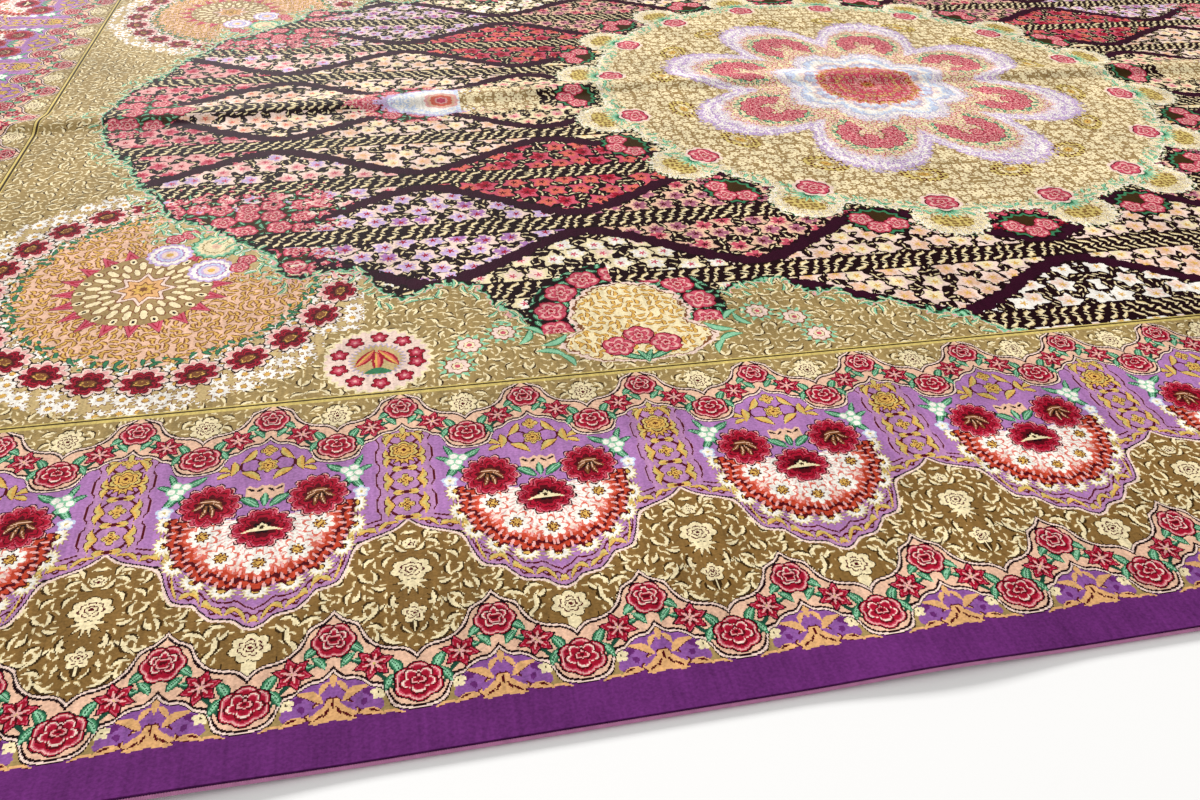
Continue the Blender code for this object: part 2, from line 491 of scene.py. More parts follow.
@chart
def crowns(tree, from_axis: float, height: float):
    """The plain purple guard, with orange palmettes along it that stand up between the dips of the ribbon."""
    place = add_node(tree, "ShaderNodeCombineXYZ", [from_axis, height]).outputs[0]
    uneven = fray(tree, place, 0.09)
    ink = lay(tree, dye("purple"), work_out(
        tree, "height > -0.66 + 0.6 * uneven", height=height, uneven=uneven
    ), "violet")
    dip = work_out(
        tree, "(from_axis < 0.225 + 0.10 * uneven) * (height > -0.735)",
        from_axis=from_axis, height=height, uneven=uneven,
    )
    ink = lay(tree, ink, dip, "tan")
    orange = cover((0.03, "maroon"), (0.10, "orange"), (0.93, None))
    slit = cover((0.1, "maroon"), (0.9, None))
    ink = flower(tree, ink, place, (0.235, -0.60), 0.05, 5, 0.4, ((0, "bark"), (0.2, "cream"), (0.99, None)))
    ink = leaf(tree, ink, place, (0.155, -0.742), (0.075, 0.018), 6, orange, 0.8, 0.5)
    ink = leaf(tree, ink, place, (0.27, -0.72), (0.085, 0.028), 14, orange, 0.8, 0.5)
    ink = leaf(tree, ink, place, (0.37, -0.555), (0.105, 0.032), -26, orange, 1.1, 0.5)
    ink = leaf(tree, ink, place, (0.445, -0.51), (0.058, 0.022), 55, orange, 0.6)
    ink = leaf(tree, ink, place, (0.5, -0.455), (0.070, 0.026), 90, orange)
    ink = flower(tree, ink, place, (0.5, -0.735), (0.17, 0.155), 11, 0.26, (
        (0, "orange"), (0.90, "maroon"), (0.98, None)
    ), 8)
    violet = cover((0.1, "violet"), (0.9, None))
    ink = leaf(tree, ink, place, (0.405, -0.655), (0.065, 0.022), 40, violet, 0.5)
    for at, turn in (((0.5, -0.635), 90), ((0.465, -0.685), 62), ((0.42, -0.715), 35), ((0.27, -0.712), 20)):
        ink = leaf(tree, ink, place, at, (0.036, 0.011), turn, slit)
    foot = work_out(
        tree, "height < -0.745 - 0.02 * absolute(sine(19 * from_axis)) + 0.04 * uneven",
        height=height, from_axis=from_axis, uneven=uneven,
    )
    return lay(tree, ink, foot, "purple")


@chart
def brown_ground(tree, place: Vector):
    """Brown ground strewn with cream leaves and curls, with palmettes on the middle lines."""
    ink = scatter_leaves(tree, dye("olive"), place, 0.068, (0.032, 0.011), SPINE_LEAF, 0.9, 0.4, 9.0)
    ink = scatter_leaves(tree, ink, place, 0.125, (0.062, 0.024), CREAM_LEAF, 1.3)
    for at, size, turn in (
        ((0.86, 0.08), (0.085, 0.026), 80),
        ((0.76, 0.00), (0.085, 0.026), 240),
        ((0.21, -0.11), (0.095, 0.028), 105),
        ((0.33, 0.02), (0.085, 0.026), 25),
        ((0.84, -0.25), (0.085, 0.026), 150),
    ):
        ink = leaf(tree, ink, place, at, size, turn, CREAM_LEAF, 1.2, 0.5)
    ink = flower(tree, ink, place, (1, 0.29), (0.20, 0.23), 15, 0.2, ((0, "olive"), (0.99, None)))
    ink = flower(tree, ink, place, (1, 0.235), (0.135, 0.15), 11, 0.55, (
        (0, "cream"), (0.80, "bark"), (0.95, None),
    ), pointed=True)
    ink = flower(tree, ink, place, (1, 0.335), (0.15, 0.11), 7, 0.22, PALMETTE)
    ink = flower(tree, ink, place, (1, -0.04), (0.12, 0.14), 7, 0.2, ((0, "olive"), (0.99, None)))
    ink = leaf(tree, ink, place, (1, -0.13), (0.07, 0.035), 90, CREAM_LEAF)
    ink = flower(tree, ink, place, (1, -0.04), 0.09, 5, 0.4, PALMETTE)
    ink = flower(tree, ink, place, (1, 0.57), 0.06, 5, 0.3, PALMETTE)
    ink = flower(tree, ink, place, (0, -0.17), (0.18, 0.20), 9, 0.2, ((0, "olive"), (0.99, None)))
    ink = leaf(tree, ink, place, (0, -0.28), (0.10, 0.05), 90, CREAM_LEAF)
    return flower(tree, ink, place, (0, -0.14), (0.14, 0.12), 7, 0.25, PALMETTE)


@chart
def vine_strip(tree, ink: float, place: Vector):
    """The strip of gold vine that runs under a shield and beside a column, and the orchid ground in it."""
    along, up, _ = add_node(tree, "ShaderNodeSeparateXYZ", [place]).outputs
    over = height_over(tree, along, up, SHIELD_FOOT)
    ink = lay_bands(tree, ink, work_out(tree, "over * 2", over=over), cover(
        (0.006, "blush"), (0.04, "outline"), (0.065, "mallow")
    ))
    wave = work_out(tree, "over - 0.09 - 0.03 * sine(42 * along)", over=over, along=along)
    ink = lay(tree, ink, work_out(tree, "absolute(wave) < 0.009", wave=wave), "maroon")
    step = add_node(tree, "ShaderNodeCombineXYZ", [
        work_out(tree, "pingpong(along - 0.037, 0.0748)", along=along), over,
    ]).outputs[0]
    ink = leaf(tree, ink, step, (0.036, 0.092), (0.052, 0.026), 35, GOLD_LEAF, 0.7, 0.5)
    column_edge = work_out(
        tree, "0.80 - along + 0.016 * wave + 0.012 * absolute(wave)",
        along=along, wave=work_out(tree, "sine(24 * up)", up=up),
    )
    inside = work_out(tree, "minimum(edge, over - 0.15) * 4 + 0.1", edge=column_edge, over=over)
    return lay_bands(tree, ink, inside, cover((0.1, "maroon"), (0.155, "mallow"), (0.19, "orchid")))


@chart
def column(tree, ink: float, place: Vector):
    """A column between two shields: a gold palmette over a chain of small flowers, rings and bent leaves."""
    x, y, _ = add_node(tree, "ShaderNodeSeparateXYZ", [place]).outputs
    within = work_out(tree, "(x > 0.815) * (y > 0.80)", x=x, y=y)
    step = work_out(tree, "pingpong(y - 0.83, 0.13)", y=y)
    link = add_node(tree, "ShaderNodeCombineXYZ", [x, step]).outputs[0]
    stem = work_out(
        tree, "absolute(sqrt((1 - x) * (1 - x) + (y - 0.13) * (y - 0.13)) - 0.125) < 0.011", x=x, y=step
    )
    drawn = lay(tree, dye("mallow"), stem, "maroon")
    drawn = leaf(tree, drawn, link, (0.865, 0.09), (0.072, 0.034), 70, GOLD_LEAF, 1.1, 0.5)
    drawn = leaf(tree, drawn, link, (0.93, 0.01), (0.050, 0.022), 25, GOLD_LEAF, 0.9, 0.4)
    drawn = flower(tree, drawn, link, (1, 0.13), (0.066, 0.074), 4, 0.45, GOLD_FLOWER)
    drawn = flower(tree, drawn, place, (1, 1.50), (0.15, 0.14), 13, 0.40, (
        (0, "gold"), (0.74, "maroon"), (0.95, None),
    ), pointed=True)
    drawn = flower(tree, drawn, place, (1, 1.56), (0.13, 0.11), 6, 0.25, GOLD_FLOWER)
    drawn = leaf(tree, drawn, place, (0.88, 1.70), (0.09, 0.032), 65, GOLD_LEAF, 1.0, 0.4)
    drawn = leaf(tree, drawn, place, (1, 1.80), (0.06, 0.03), 90, GOLD_LEAF)
    return lay(tree, ink, within, drawn)


@chart
def garland(tree, ink: float, place: Vector):
    """The half-round garland in a shield: daisies, a ring of red petals, white flowers, and a dark bloom."""
    radius, angle = polar(tree, place, (0, 0.967))
    angle = work_out(tree, "absolute(angle + quarter)", angle=angle, quarter=QUARTER_TURN)
    rays = work_out(tree, "sine(61 * angle) * sine(37 * radius + 9 * angle)", radius=radius, angle=angle)
    spoke, _ = fold(tree, radius, angle, 0, 0.168)
    drawn = flower(tree, ink, spoke, (0, 0.655), (0.125, 0.085), 13, 0.34, (
        (0, "gold"), (0.22, "bark"), (0.32, "ivory"), (0.66, "cream"), (0.84, "tan"), (0.97, None),
    ), pointed=True)
    fringe = work_out(
        tree, "radius + 0.035 * absolute(sine(9.35 * angle)) + 0.02 * rays",
        radius=radius, angle=angle, rays=rays,
    )
    drawn = lay_bands(tree, drawn, fringe, (
        (0, "ivory"), (0.40, "blush"), (0.47, "coral"), (0.51, "vermilion"), (0.555, "maroon"),
        (0.59, "vermilion"), (0.625, "maroon"), (0.65, None),
    ))
    lit = work_out(tree, "(rays > 0.42) * (radius < 0.63)", rays=rays, radius=radius)
    drawn = lay(tree, drawn, lit, "pink")
    spoke, _ = fold(tree, radius, angle, 0, 0.3316)
    drawn = flower(tree, drawn, spoke, (0, 0.405), 0.13, 8, 0.40, (
        (0, "gold"), (0.15, "maroon"), (0.22, "gold"), (0.32, "maroon"), (0.42, "ivory"), (0.82, "coral"),
        (0.97, None),
    ))
    low = work_out(tree, "(angle < 1.76) * (radius < 0.74)", radius=radius, angle=angle)
    ink = lay(tree, ink, low, drawn)
    ink = bloom(tree, ink, local(tree, place, (0, 0.895), (0.235, 0.21)))
    ink = leaf(tree, ink, place, (0, 0.90), (0.145, 0.045), 0, cover((0.12, "cream"), (0.55, None)), 1.0)
    return flower(tree, ink, place, (0, 0.90), 0.04, 5, 0.4, ((0, "bark"), (0.5, "cream"), (0.99, None)))


@chart
def bouquet(tree, ink: float, place: Vector):
    """A shield's upper half: two red blooms, white sprigs, a cream panel and a gold crown."""
    for at, size, turn in (
        ((0.50, 1.43), (0.10, 0.04), 150),
        ((0.66, 1.48), (0.09, 0.03), 70),
        ((0.70, 1.40), (0.08, 0.03), 30),
        ((0.65, 1.25), (0.09, 0.04), 120),
        ((0.58, 1.27), (0.08, 0.035), 70),
    ):
        ink = leaf(tree, ink, place, at, size, turn, GREEN_LEAF, 0.3)
    bubble = ((0, "ivory"), (0.72, "mint"), (0.99, None))
    for at in ((0.56, 1.40), (0.63, 1.42), (0.60, 1.35), (0.66, 1.36), (0.63, 1.30)):
        ink = flower(tree, ink, place, at, 0.042, 5, 0.1, bubble)
    ink = flower(tree, ink, place, (0.68, 1.15), 0.065, 5, 0.35, (
        (0, "straw"), (0.2, "ivory"), (0.7, "ice"), (0.99, None),
    ))
    x, y, _ = add_node(tree, "ShaderNodeSeparateXYZ", [place]).outputs
    panel = work_out(tree, "(x < 0.135) * (absolute(y - 1.25) < 0.07 + 0.012 * sine(70 * x))", x=x, y=y)
    ink = lay(tree, ink, panel, "peach")
    mark = cover((0.1, "outline"), (0.9, None))
    ink = leaf(tree, ink, place, (0.10, 1.29), (0.032, 0.014), 30, mark)
    ink = leaf(tree, ink, place, (0.04, 1.28), (0.032, 0.014), -40, mark)
    ink = leaf(tree, ink, place, (0.10, 1.17), (0.10, 0.045), 40, GREEN_LEAF, 0.3)
    ink = leaf(tree, ink, place, (0, 1.18), (0.075, 0.035), 90, GREEN_LEAF)
    ink = bloom(tree, ink, local(tree, place, (0.375, 1.17), 0.235, 10))
    stripe = cover((0.1, "brown"), (0.45, "peach"), (0.62, "brown"), (0.9, None))
    for at, size, turn in (
        ((0.375, 1.215), (0.085, 0.030), 8),
        ((0.315, 1.165), (0.060, 0.022), 45),
        ((0.355, 1.120), (0.070, 0.020), 78),
        ((0.405, 1.120), (0.070, 0.020), 104),
        ((0.445, 1.165), (0.055, 0.020), 140),
    ):
        ink = leaf(tree, ink, place, at, size, turn, stripe, 0.6)
    crown = work_out(
        tree, "absolute(sqrt((x - 0.12) * (x - 0.12) + (y - 1.56) * (y - 1.56)) - 0.075) < 0.009", x=x, y=y
    )
    ink = lay(tree, ink, crown, "maroon")
    for at, size, turn in (
        ((0.10, 1.455), (0.095, 0.042), 40),
        ((0.13, 1.66), (0.09, 0.038), 125),
        ((0.235, 1.54), (0.085, 0.04), 95),
        ((0.32, 1.55), (0.07, 0.036), 20),
        ((0.31, 1.48), (0.06, 0.03), -20),
    ):
        ink = leaf(tree, ink, place, at, size, turn, GOLD_LEAF, 0.5, 0.3)
    ink = flower(tree, ink, place, (0, 1.55), 0.085, 6, 0.3, GOLD_FLOWER)
    return flower(tree, ink, place, (0, 1.72), 0.07, 4, 0.35, GOLD_FLOWER)


@chart
def tan_ground(tree, place: Vector):
    """Tan ground strewn with cream leaves."""
    ink = scatter_leaves(tree, dye("tan"), place, 0.075, (0.034, 0.011), SPINE_LEAF, 0.9, 0.4, 5.0)
    return scatter_leaves(tree, ink, place, 0.135, (0.066, 0.024), CREAM_LEAF, 1.3, shift=3.0)


def border_place(tree, x, y):
    """Turns a place on the rug into a place in the border's chart. The corners are mitred."""
    from_end = work_out(tree, "half - x", x=x, half=HALF_LENGTH / REPEAT)
    from_side = work_out(tree, "half - y", y=y, half=HALF_WIDTH / REPEAT)
    end = work_out(tree, "from_end < from_side", from_end=from_end, from_side=from_side)
    height = work_out(
        tree, "minimum(from_end, from_side) - foot", from_end=from_end, from_side=from_side, foot=CHART_FOOT
    )
    # A column stands in the middle of each short side, and a shield in the middle of each long one.
    along = work_out(
        tree, "x + end * (start + y * squeeze - x)",
        x=x, y=y, end=end, start=SHORT_SIDE_START, squeeze=SHORT_SIDE_SQUEEZE,
    )
    from_shield = work_out(tree, "pingpong(along, 1)", along=along)
    from_axis = work_out(tree, "pingpong(along, 0.5)", along=along)
    place = add_node(tree, "ShaderNodeCombineXYZ", [from_shield, height]).outputs[0]
    return place, height, from_axis


def plain_guard(tree, x, y):
    """The plain purple outer edge."""
    return dye("purple")


def outer_border(tree, x, y):
    """The outer half of the border: crowns, the first ribbon, brown ground and the shields' feet."""
    place, height, from_axis = border_place(tree, x, y)
    ground = garland(tree, vine_strip(tree, brown_ground(tree, place), place), place)
    return rose_ribbon(tree, crowns(tree, from_axis, height), ground, from_axis, height)


def inner_border(tree, x, y):
    """The inner half of the border: columns, bouquets, the second ribbon and the yellow lines."""
    place, height, from_axis = border_place(tree, x, y)
    ground = column(tree, vine_strip(tree, dye("olive"), place), place)
    ground = bouquet(tree, garland(tree, ground, place), place)
    tan = tan_ground(tree, place)
    side = add_node(tree, "ShaderNodeCombineXYZ", [from_axis, height]).outputs[0]
    tan = flower(tree, tan, side, (0.5, 2.06), (0.13, 0.15), 9, 0.3, PALMETTE)
    near = work_out(tree, "0.5 - from_axis", from_axis=from_axis)
    level = work_out(tree, "height - step", height=height, step=RIBBON_STEP)
    ink = rose_ribbon(tree, ground, tan, near, level)
    # Two yellow lines part the border from the field.
    lines = cover(
        (0.27, "bark"), (0.30, "straw"), (0.45, "bark"), (0.55, "straw"), (0.72, "bark"), (0.75, "tan")
    )
    return lay_bands(tree, ink, work_out(tree, "(height - 2.2) * 5", height=height), lines)


# The field's long leaves lie in rows. These are the rows' spines, and half a leaf's length.
SPINES = ((0, 0), (1.15, 1), (2.32, 2), (3.57, 3), (4.88, 4), (6.1, 5), (7.4, 6))
LEAF_HALF = 1.65
# What grows in each leaf: its row, its number along the row, the petals of its flowers, those of about every
# third flower, their edges, and their hearts.
LEAVES = (
    {"row": 0, "number": 1, "petals": "peach", "others": "pink", "edges": "cream", "hearts": "rose"},
    {"row": 0, "number": 2, "petals": "peach", "others": "cream", "edges": "blush", "hearts": "coral"},
    {"row": 1, "number": 1, "petals": "cream", "others": "peach", "edges": "cream", "hearts": "gold"},
    {"row": 1, "number": 2, "petals": "peach", "others": "cream", "edges": "blush", "hearts": "orange"},
    {"row": 1, "number": 3, "petals": "rose", "others": "pink", "edges": "pink", "hearts": "crimson"},
    {"row": 2, "number": 1, "petals": "coral", "others": "crimson", "edges": "rose", "hearts": "maroon"},
    {"row": 2, "number": 2, "petals": "pink", "others": "lilac", "edges": "blush", "hearts": "rose"},
    {"row": 3, "number": 0, "petals": "crimson", "others": "rose", "edges": "rose", "hearts": "maroon"},
    {"row": 3, "number": 1, "petals": "mauve", "others": "rose", "edges": "peach", "hearts": "maroon"},
    {"row": 3, "number": 2, "petals": "lilac", "others": "orchid", "edges": "blush", "hearts": "crimson"},
    {"row": 3, "number": 3, "petals": "rose", "others": "coral", "edges": "pink", "hearts": "crimson"},
    {"row": 4, "number": 0, "petals": "peach", "others": "cream", "edges": "blush", "hearts": "gold"},
    {"row": 4, "number": 1, "petals": "ivory", "others": "blush", "edges": "cream", "hearts": "rose"},
    {"row": 5, "number": 0, "petals": "ivory", "others": "blush", "edges": "ivory", "hearts": "gold"},
)
LEAVES_IN_ROW = 4
LEAF_PLACES = LEAVES_IN_ROW * len(SPINES)
# The blossoms: how far apart they are, how long a petal is, and how much their rows are stretched before they
# lean, so that each blossom has six others round it.
BLOSSOM_STEP = 0.29
PETAL = 0.163
ROW_STRETCH = 1.155


def by_leaf(tree, which, layer):
    """The silk that a leaf of the field takes for one layer of its blossoms."""
    bands = [(0, "cream")]
    for entry in LEAVES:
        bands.append(((entry["row"] * LEAVES_IN_ROW + entry["number"]) / LEAF_PLACES, entry[layer]))
    return lay_bands(tree, dye("cream"), which, bands)


@chart
def leaf_lattice(tree, place: Vector):
    """The field: rows of long leaves filled with blossoms, parted by dark bands, each with a cream spine."""
    x, y, _ = add_node(tree, "ShaderNodeSeparateXYZ", [place]).outputs
    rank = line_through(tree, y, SPINES, sharp=True)
    row = work_out(tree, "floor(rank)", rank=rank)
    part = work_out(tree, "rank - row", rank=rank, row=row)
    odd = work_out(tree, "modulo(row, 2)", row=row)
    swing = work_out(
        tree, "0.17 * cosine(x * turn) + 0.18 - 0.36 * pingpong(x, half) / half",
        x=x, turn=math.pi / LEAF_HALF, half=LEAF_HALF,
    )
    off = work_out(tree, "(part - 0.5 + swing * (1 - 2 * odd)) * 1.05", part=part, swing=swing, odd=odd)
    own = work_out(tree, "row + (off > 0)", row=row, off=off)
    which = work_out(
        tree, "(own * in_row + floor((x / half + modulo(own, 2)) / 2) + 0.5) / places",
        own=own, in_row=LEAVES_IN_ROW, x=x, half=LEAF_HALF, places=LEAF_PLACES,
    )
    # Slips of cream leaf show between the blossoms, which lie so close that they nearly touch.
    slips = scatter_leaves(tree, dye("outline"), place, 0.085, (0.052, 0.012), SPINE_LEAF, 0.9, 0.5, 8.0)
    # The blossoms stand in staggered rows: the grid leans by half a step for each row, and what is seen of it
    # is set upright again.
    leaned = add_node(tree, "ShaderNodeCombineXYZ", [
        work_out(tree, "x + 0.5 * stretch * y", x=x, y=y, stretch=ROW_STRETCH),
        work_out(tree, "stretch * y", y=y, stretch=ROW_STRETCH),
    ]).outputs[0]
    seen, drawn = scatter(tree, leaned, BLOSSOM_STEP, 0.52)
    along, over, _ = add_node(tree, "ShaderNodeSeparateXYZ", [seen]).outputs
    right = work_out(tree, "along - 0.5 * over", along=along, over=over)
    up = work_out(tree, "over / stretch", over=over, stretch=ROW_STRETCH)
    reach = work_out(tree, "sqrt(right * right + up * up)", right=right, up=up)
    angle = work_out(
        tree, "arctan2(right, up) + full_turn * drawn", right=right, up=up, full_turn=math.tau, drawn=drawn
    )
    # Five petals, each bent a little.
    across = work_out(
        tree, "reach / (petal - 0.405 * petal * absolute(sine(2.5 * angle + 4 * reach)))",
        reach=reach, petal=PETAL, angle=angle,
    )
    edges = by_leaf(tree, which, "edges")
    petals = lay(
        tree, by_leaf(tree, which, "petals"), work_out(tree, "drawn > 0.64", drawn=drawn),
        by_leaf(tree, which, "others"),
    )
    ink = lay(tree, slips, work_out(tree, "across < 1.16", across=across), "outline")
    ink = lay(tree, ink, work_out(tree, "across < 0.98", across=across), edges)
    body = work_out(
        tree, "across < 0.64 + 0.22 * sine(angle) + 0.18 * sine(10 * angle)", across=across, angle=angle
    )
    ink = lay(tree, ink, body, petals)
    crumb = work_out(tree, "across < 0.25 + 0.12 * sine(5 * angle)", across=across, angle=angle)
    ink = lay(tree, ink, crumb, by_leaf(tree, which, "hearts"))
    edge = work_out(tree, "absolute(off) * 4 + 0.6 * uneven", off=off, uneven=fray(tree, place, 0.085))
    ink = lay_bands(tree, ink, edge, ((0, "aubergine"), (0.28, "outline"), (0.33, None)))
    # The spine is braided: two rows of small bent leaves that lean against each other.
    spine = work_out(tree, "minimum(part, 1 - part)", part=part)
    second = work_out(tree, "part > 0.5", part=part)
    lean = work_out(
        tree, "modulo((x + 0.2 * uneven) * (1 - 2 * second) + 0.07 * second + 26, 0.13)",
        x=x, second=second, uneven=fray(tree, place, 0.30),
    )
    braid = add_node(tree, "ShaderNodeCombineXYZ", [lean, spine]).outputs[0]
    braided = leaf(tree, dye("outline"), braid, (0.068, 0.068), (0.062, 0.020), 38, SPINE_LEAF, 1.4, 0.6)
    braided = leaf(tree, braided, braid, (0.045, 0.022), (0.042, 0.014), -28, SPINE_LEAF, 1.0, 0.5)
    braided = leaf(tree, braided, braid, (0.11, 0.095), (0.022, 0.011), 70, SPINE_LEAF, 0.3)
    return lay(tree, ink, work_out(tree, "spine < 0.122", spine=spine), braided)


# The inner edge of the tan ground that frames the field: along the rug from its middle, and across it.
SPANDREL = (
    (0.0, 6.5), (1.4, 6.3), (1.6, 6.02), (2.03, 5.84), (2.25, 5.62), (2.47, 5.64), (2.75, 5.36),
    (2.95, 5.38), (3.25, 5.08), (3.5, 5.1), (3.77, 5.2), (4.1, 5.36), (4.84, 5.5), (5.5, 5.5),
    (5.82, 5.43), (6.08, 5.15), (6.18, 4.86), (6.42, 4.7), (6.67, 4.78), (6.88, 4.9), (7.1, 4.78),
    (7.25, 4.45), (7.5, 4.3), (7.75, 4.36), (8.0, 4.4), (8.15, 4.0), (8.4, 3.7), (8.7, 3.4),
    (9.0, 3.12), (9.25, 3.0), (9.42, 2.6), (9.6, 2.3), (9.78, 2.0), (9.9, 1.6), (10.1, 1.3),
    (10.3, 0.9), (10.42, 0.4), (10.5, 0.0), (11.2, -0.2),
)


@chart
def pendant(tree, ink: float, place: Vector):
    """The pale pendant at each end of the medallion, with its pink flower, in a chevron of red roses."""
    x, y, _ = add_node(tree, "ShaderNodeSeparateXYZ", [place]).outputs
    uneven = fray(tree, place, 0.06)
    chevron = work_out(
        tree, "(x < 7.46 - 1.1 * y + uneven) * (x > 5.75 + y + uneven) * (y < 0.60)", x=x, y=y, uneven=uneven
    )
    ink = lay(tree, ink, chevron, rose_bed(tree, place))
    pale = work_out(tree, "absolute(x - 6.3) / 0.85 + y * y * 4 + 0.7 * uneven", x=x, y=y, uneven=uneven)
    ink = lay_bands(tree, ink, pale, (
        (0, "ivory"), (0.40, "ice"), (0.52, "ivory"), (0.62, "ice"), (0.72, "grey"), (0.77, "lilac"),
        (0.86, None),
    ))
    neck = work_out(
        tree, "(x < 5.95) * (y < 0.40 - 0.2 * absolute(x - 5.4) + uneven)", x=x, y=y, uneven=uneven
    )
    ink = lay(tree, ink, neck, blossoms(tree, place))
    return flower(tree, ink, place, (6.2, 0), (0.26, 0.2), 7, 0.15, (
        (0, "rose"), (0.25, "pink"), (0.36, "coral"), (0.62, "peach"), (0.78, "pink"), (0.95, None),
    ))


@chart
def rose_bed(tree, place: Vector):
    """Pink roses and green leaves, close together on brown."""
    ink = scatter_leaves(tree, dye("bark"), place, 0.10, (0.07, 0.028), GREEN_LEAF, 0.6, 0.5, 8.0)
    seen, _ = scatter(tree, place, 0.27, 0.6, 7.0)
    return pale_rose(tree, ink, local(tree, seen, (0, 0), 0.145))


@chart
def blossoms(tree, place: Vector):
    """Gold-brown ground all but covered in small cream blossoms."""
    ink = scatter_leaves(tree, dye("honey"), place, 0.075, (0.045, 0.015), SMALL_LEAF, 0.8, 0.5, 2.0)
    return scatter_flowers(tree, ink, place, 0.14, 0.078, 5, 0.34, (
        (0, "brown"), (0.16, "cream"), (0.80, "brown"), (0.90, "honey"), (1.0, None),
    ), evenness=0.35, shift=4.0)


@chart
def spandrel(tree, ink: float, ground: float, place: Vector):
    """The tan ground round the field, with its edge of scrolls and green leaves."""
    x, y, _ = add_node(tree, "ShaderNodeSeparateXYZ", [place]).outputs
    over = height_over(tree, x, y, SPANDREL)
    frill = work_out(tree, "over + 0.5 + 0.22 * uneven", over=over, uneven=fray(tree, place, 0.08))
    ink = lay_bands(tree, ink, frill, cover(
        (0.40, "outline"), (0.44, "green"), (0.455, "mint"), (0.48, "pink")
    ))
    ink = lay(tree, ink, work_out(tree, "frill > 0.495", frill=frill), ground)
    near = scatter_leaves(tree, ink, place, 0.16, (0.100, 0.032), cover(
        (0.04, "pine"), (0.18, "mint"), (0.48, "green"), (0.56, "cream"), (0.84, "green"), (0.96, None)
    ), 1.2, 0.3, 6.0)
    return lay(tree, ink, work_out(tree, "absolute(over - 0.03) < 0.14", over=over), near)


@chart
def corner_rosette(tree, ink: float, place: Vector):
    """The corner's great rosette: a star in rings of petals, on peach, in a wreath of dark carnations."""
    radius, angle = polar(tree, place, (9.08, 4.22))
    uneven = fray(tree, place, 0.07)
    rim = work_out(tree, "radius + 0.3 * uneven", radius=radius, uneven=uneven)
    daisies = scatter_flowers(tree, dye("sand"), place, 0.185, 0.125, 11, 0.34, (
        (0, "gold"), (0.26, "brown"), (0.32, "ivory"), (0.80, "brown"), (0.90, None),
    ), shift=1.0, pointed=True)
    ink = lay(tree, ink, work_out(tree, "rim < 2.05", rim=rim), daisies)
    gold = scatter_leaves(tree, dye("peach"), place, 0.078, (0.066, 0.027), cover(
        (0.02, "brown"), (0.26, "gold"), (0.70, "brown"), (0.98, None)
    ), 1.3, 0.4, 2.0)
    ink = lay(tree, ink, work_out(tree, "rim < 1.40", rim=rim), gold)
    fringe = scatter_leaves(tree, ink, place, 0.10, (0.085, 0.026), cover(
        (0.04, "pine"), (0.22, "green"), (0.8, "pine"), (0.96, None)
    ), 0.8, 0.3, 4.0)
    ink = lay(tree, ink, work_out(tree, "absolute(rim - 1.38) < 0.07", rim=rim), fringe)
    spoke, _ = fold(tree, radius, angle, 0, 0.1309)
    ink = carnation(tree, ink, local(tree, spoke, (0, 1.62), (0.235, 0.225)))
    # The star.
    radius, angle = polar(tree, place, (9.3, 4.35))
    tips = work_out(tree, "radius / (1 - 0.26 * absolute(sine(10 * angle)))", radius=radius, angle=angle)
    ink = lay_bands(tree, ink, tips, cover(
        (0.60, "blush"), (0.64, "rose"), (0.70, "crimson"), (0.74, "rose"), (0.81, "maroon"), (0.83, None)
    ))
    ink = lay(tree, ink, work_out(tree, "radius < 0.62", radius=radius), "honey")
    for start, out, size, heart in (
        (0, 0.565, (0.052, 0.068), "outline"),
        (0.157, 0.455, (0.052, 0.095), "cream"),
        (0, 0.34, (0.042, 0.080), "cream"),
    ):
        spoke, _ = fold(tree, radius, angle, start, 0.157)
        ink = flower(tree, ink, spoke, (0, out), size, 2, 0.3, (
            (0, heart), (0.34, "cream"), (0.78, "brown"), (0.97, None),
        ))
    star = work_out(tree, "radius / (1 - 0.35 * absolute(sine(4 * angle)))", radius=radius, angle=angle)
    ink = lay_bands(tree, ink, star, (
        (0, "brown"), (0.05, "gold"), (0.11, "brown"), (0.14, "orange"), (0.22, "brown"), (0.24, "blush"),
        (0.29, "brown"), (0.31, None),
    ))
    # The side towards the middle of the rug: pale leaves, three small discs, and pink roses.
    leafy = scatter_leaves(tree, dye("sand"), place, 0.11, (0.085, 0.034), cover(
        (0.04, "green"), (0.2, "mint"), (0.55, "ivory"), (0.8, "green"), (0.96, None)
    ), 0.9, 0.3, 3.0)
    inward = work_out(
        tree, "(radius > 0.86) * (absolute(pingpong(angle - 0.88, pi) - pi) < 0.75 + uneven)",
        angle=angle, radius=radius, uneven=uneven, pi=math.pi,
    )
    ink = lay(tree, ink, inward, leafy)
    disc = (
        (0, "gold"), (0.16, "blush"), (0.34, "lilac"), (0.46, "ice"), (0.56, "orchid"), (0.64, "ivory"),
        (0.84, "lilac"), (0.98, None),
    )
    ink = flower(tree, ink, place, (8.72, 3.6), 0.27, 16, 0.14, (
        (0, "peach"), (0.2, "cream"), (0.5, "tan"), (0.56, "cream"), (0.74, "mint"), (0.90, "green"),
        (0.99, None),
    ), pointed=True)
    ink = flower(tree, ink, place, (9.15, 3.72), 0.23, 14, 0.12, disc)
    ink = flower(tree, ink, place, (8.72, 4.08), 0.23, 14, 0.12, disc)
    for at in ((9.0, 3.32), (9.14, 3.40), (8.40, 3.92), (8.46, 4.06)):
        ink = pale_rose(tree, ink, local(tree, place, at, 0.105))
    return ink


